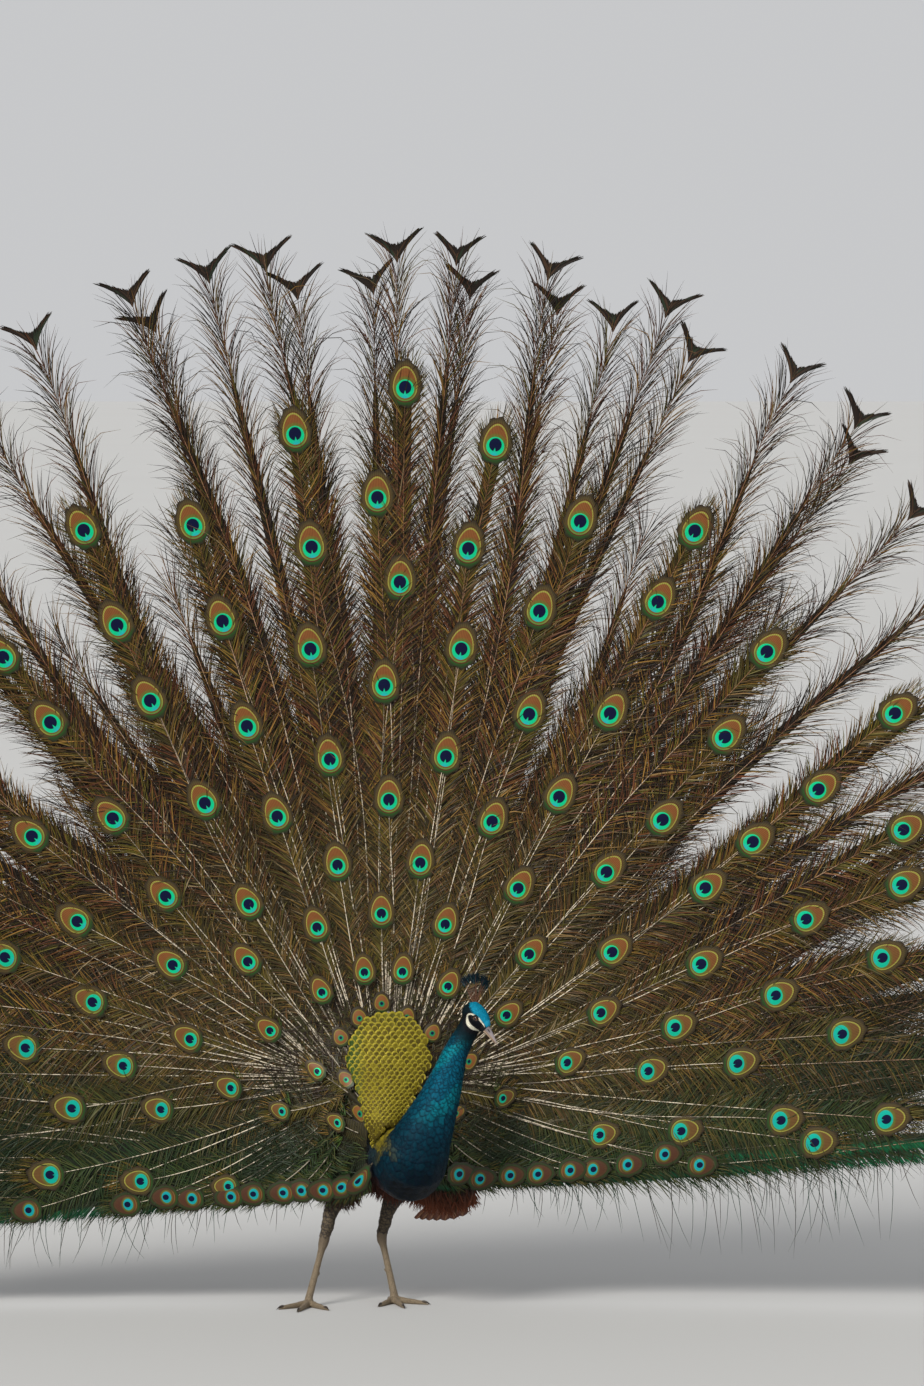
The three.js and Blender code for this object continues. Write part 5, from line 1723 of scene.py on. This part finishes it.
def makeTail():
    count = tail["feathers"]
    angle = (np.linspace(-tail["spread"], tail["spread"], count) + luck.uniform(-1, 1, count)) * degree
    aim = unit(np.stack([np.sin(angle), -tail["lean"] + 0 * angle, np.cos(angle)], -1))
    length = tail["reach"] * math.hypot(1, tail["lean"]) * sideLoss(angle / degree, 0.06)
    length = length * luck.uniform(0.95, 1.0, count)
    thin = unit(np.array([0, -1.0, 0]) + aim * aim[:, 1:2])
    wide = unit(np.cross(thin, aim))
    # every feather leans a little under the next one towards the middle
    tilt = np.sign(angle)[:, None] * tail["tilt"] * degree
    thin, wide = thin * np.cos(tilt) + wide * np.sin(tilt), wide * np.cos(tilt) - thin * np.sin(tilt)
    fromMiddle = np.abs(np.arange(count) - count / 2 + 0.5)[:, None]
    start = np.array(tail["root"]) + fromMiddle * tail["layer"] * thin
    tip = start + aim * length[:, None]
    longQuills("tail_quills", start + aim * 14, tip, wide, thin, tail["half"], tailColour, "brown", ["tail"])


# the long feathers of the wings, each from the wrist to its end
primaries = {
    "half": 11, "step": 12.8, "count": 7, "left": ([122, 56, 206], [86, 256, 116]),
    "right": ([-92, 56, 206], [-62, 280, 168]),
    "low": paint(150, 82, 44), "high": paint(112, 62, 40), "shaft": paint(176, 132, 96),
}


def primaryColour(share, across, number, isShaft):
    uneven = (0.85 + 0.3 * ((number * 7) % 5) / 5)[..., None]
    vanes = mix(primaries["low"], primaries["high"], share[..., None]) * uneven
    return np.where(isShaft, primaries["shaft"], vanes)


def makePrimaries():
    count = primaries["count"]
    spread = np.linspace(-1, 1, count)[:, None]
    turn = spread * primaries["step"] * degree
    for name in ("right", "left"):
        wrist, end = (np.array(value, float) for value in primaries[name])
        length = np.linalg.norm(end - wrist)
        along = (end - wrist) / length
        across = np.array([1, 0, 0.25])
        across = unit(across - along * (across @ along))
        thin = np.cross(across, along)
        aim = along * np.cos(turn) + np.cross(thin, along) * np.sin(turn)
        wide = across * np.cos(turn) + np.cross(thin, across) * np.sin(turn)
        start = wrist + thin * spread * 1.8
        tip = start + aim * (length * (1 - 0.05 * np.abs(np.linspace(-1, 3, count))))[:, None]
        longQuills(
            "wing_quills_" + name, start, tip, wide, thin + 0 * aim, primaries["half"],
            primaryColour, "rust", ["primaries_" + name],
        )


makeTail()
makePrimaries()

# down that hangs under the wings and stands round the vent
down = {
    "length": [20, 44], "width": 2.4, "hang": [0.0, 0.15, -1.0],
    "patches": [
        {
            "count": 1500, "from": [-66, 196, 296], "to": [50, 224, 320], "aim": [0, 0.16, 1.0],
            "scale": 2.1, "tip": paint(128, 116, 98), "root": paint(70, 60, 50),
        },
        {
            "count": 900, "from": [-52, 180, 256], "to": [36, 222, 290], "aim": [0, 0.6, -0.7], "scale": 1.2,
            "tip": paint(112, 100, 84), "root": paint(62, 54, 46),
        },
        {
            "count": 1900, "from": [40, 10, 208], "to": [152, 110, 200], "scale": 1.3,
            "tip": paint(104, 54, 32), "root": paint(36, 28, 23),
        },
        {
            "count": 900, "from": [-104, 0, 202], "to": [-50, 100, 200],
            "tip": paint(66, 44, 32), "root": paint(34, 27, 23),
        },
        {
            "count": 700, "from": [-28, -20, 222], "to": [40, 60, 214],
            "tip": paint(74, 38, 25), "root": paint(36, 24, 20),
        },
    ],
}


def downPatch(patch):
    count = patch["count"]
    share = luck.uniform(0, 1, (count, 2))
    start, end = np.array(patch["from"], float), np.array(patch["to"], float)
    root = start + (end - start) * share[:, [0, 1, 0]]
    root[:, 2] += luck.uniform(-8, 6, count)
    out = unit(np.array(patch.get("aim", down["hang"])) + luck.normal(0, 0.22, (count, 3)))
    front = np.broadcast_to([0.0, -1.0, 0.0], (count, 3))
    length = luck.uniform(*down["length"], count) * mix(0.6, 1.0, np.sin(share[:, 0] * math.pi))
    points, step = ribbons(
        root, out, unit(np.cross(out, front)), front, length * patch.get("scale", 1.0),
        luck.normal(0, 14, count) * degree, luck.normal(0, 24, count) * degree,
        down["width"] * luck.uniform(0.6, 1.2, count), lift=luck.uniform(-0.2, 0.2, count),
    )
    tint = mix(patch["root"], patch["tip"], step[None, :, None]) * luck.uniform(0.6, 1.2, (count, 1, 1))
    return points, tint, 0.5 + root[:, :2] / 400


def makeDown():
    joined = [np.concatenate(parts) for parts in zip(*map(downPatch, down["patches"]))]
    addRibbons("vent_down", *joined, tintMaterial("down", 0.3, 200.0, Roughness=0.75), "rust")


makeDown()

wing = {
    "voxel": 2.2, "rounds": 14, "coat": 2.2,
    "lie": [0, 1.0, -0.28], "width": 1.7, "lift": 2.0, "bars": 1.05,
    # from the front edge backwards
    "places": [30, 90, 170, 240], "spacing": [9, 11, 15, 17],
    "overPlaces": [30, 120, 240], "over": [2.2, 2.8, 3.2],
    "front": paint(66, 52, 40), "back": paint(40, 34, 30),
    "cream": paint(176, 152, 112), "black": paint(42, 34, 28),
    "plain": paint(60, 44, 34), "rim": paint(60, 46, 34),
}


def wingDepth(points):
    return np.full(len(points), wing["coat"])


def wingSpacing(points):
    return np.interp(points[:, 1], wing["places"], wing["spacing"])


# barred coverts that turn plain towards the long feathers
def makeWings():
    for name in ("right", "left"):
        node = "wing_" + name
        form = formOf([node], wing["voxel"], wing["rounds"], lambda _: 1, wingDepth)
        tone = mix(wing["front"], wing["back"], smooth(form["points"][:, 1], 40, 200)[:, None])
        material = tintMaterial(node, 0.5, 200.0, Roughness=0.7)
        addMesh(node + "_arm", form["points"], form["faces"], material, "barred", [node], tint=tone)
        roots, _, gap = spreadRoots(form, wingSpacing, 60000)
        count = len(roots)
        lie, lift = np.broadcast_to(unit(wing["lie"]), roots.shape), np.full(count, wing["lift"])
        over = np.interp(roots[:, 1], wing["overPlaces"], wing["over"])
        length = gap * over * luck.uniform(0.9, 1.1, count)
        points, values = makeQuills(treeOf(form), roots, lie, length, gap * wing["width"], lift, 0.08)
        bars = np.sin(values["along"] * wing["bars"] + luck.uniform(0, 6, count)[:, None, None] * 0.3)
        tint = np.where((bars > 0)[..., None], wing["cream"], wing["black"])
        tint = mix(tint, wing["plain"], smooth(roots[:, 1], 150, 200)[:, None, None, None])
        tint = tint * luck.uniform(0.8, 1.15, (count, 1, 1, 1))
        bake = patches(sheet((roots[:, 1] + 20) / 300, (roots[:, 2] - 120) / 240) * 0.9 + 0.03, 5, 3)
        plume = plumeMaterial(node + "_plume", wing["rim"], 0.3, 1.6, Roughness=0.6)
        addGrids(node + "_feathers", points, plume, "barred", (), bake, tint=tint, **values)


makeWings()

stage = {
    "floorColour": paint(181, 181, 180), "floorWidth": 400.0,
    "worldColour": paint(228, 229, 231), "worldStrength": 0.74,
    "lights": {
        "key": {"from": [-0.62, -0.95, 0.85], "soft": 22, "power": 3.1, "colour": (1.0, 0.97, 0.92)},
        "fill": {"from": [0.9, -0.6, 0.5], "soft": 60, "power": 0.5, "colour": (0.93, 0.96, 1.0)},
    },
}


def makeFloor():
    half = stage["floorWidth"] / 2
    mesh = bpy.data.meshes.new("floor")
    corners = [(-half, -half, 0), (half, -half, 0), (half, half, 0), (-half, half, 0)]
    mesh.from_pydata(corners, [], [(0, 1, 2, 3)])
    floor = bpy.data.objects.new("floor", mesh)
    bpy.context.scene.collection.objects.link(floor)
    material, tree, shader = newMaterial("floor", Roughness=0.8)
    colour = blend(tree, noise(tree, 90.0, 5.0), stage["floorColour"], stage["floorColour"] * 1.04)
    tree.links.new(colour, shader.inputs["Base Color"])
    mesh.materials.append(material)


def makeLight(name, values):
    light = bpy.data.lights.new(name, "SUN")
    light.angle, light.energy, light.color = values["soft"] * degree, values["power"], values["colour"]
    lamp = bpy.data.objects.new(name, light)
    bpy.context.scene.collection.objects.link(lamp)
    lamp.rotation_euler = Vector(values["from"]).to_track_quat("Z", "Y").to_euler()


view = {"aim": [132, -60, 1065], "distance": 14.0, "rise": 2.5, "height": 2.384}


def makeCamera():
    camera = bpy.data.cameras.new("camera")
    camera.sensor_fit = "VERTICAL"
    camera.angle_y = 2 * math.atan(view["height"] / 2 / view["distance"])
    rise = view["rise"] * degree
    away = np.array([0, -math.cos(rise), math.sin(rise)])
    lens = bpy.data.objects.new("camera", camera)
    bpy.context.scene.collection.objects.link(lens)
    lens.location = place(view["aim"]) + away * view["distance"]
    lens.rotation_euler = Vector(-away).to_track_quat("-Z", "Y").to_euler()
    bpy.context.scene.camera = lens


def makeWorld():
    world = bpy.data.worlds.new("studio")
    world.use_nodes = True
    shade = world.node_tree.nodes["Background"]
    shade.inputs["Color"].default_value = (*stage["worldColour"], 1)
    shade.inputs["Strength"].default_value = stage["worldStrength"]
    bpy.context.scene.world = world
    bpy.context.scene.view_settings.view_transform = "Standard"


makeFloor()
for lampName, lampValues in stage["lights"].items():
    makeLight(lampName, lampValues)
makeWorld()
makeCamera()
print("stage: floor, lights and camera")
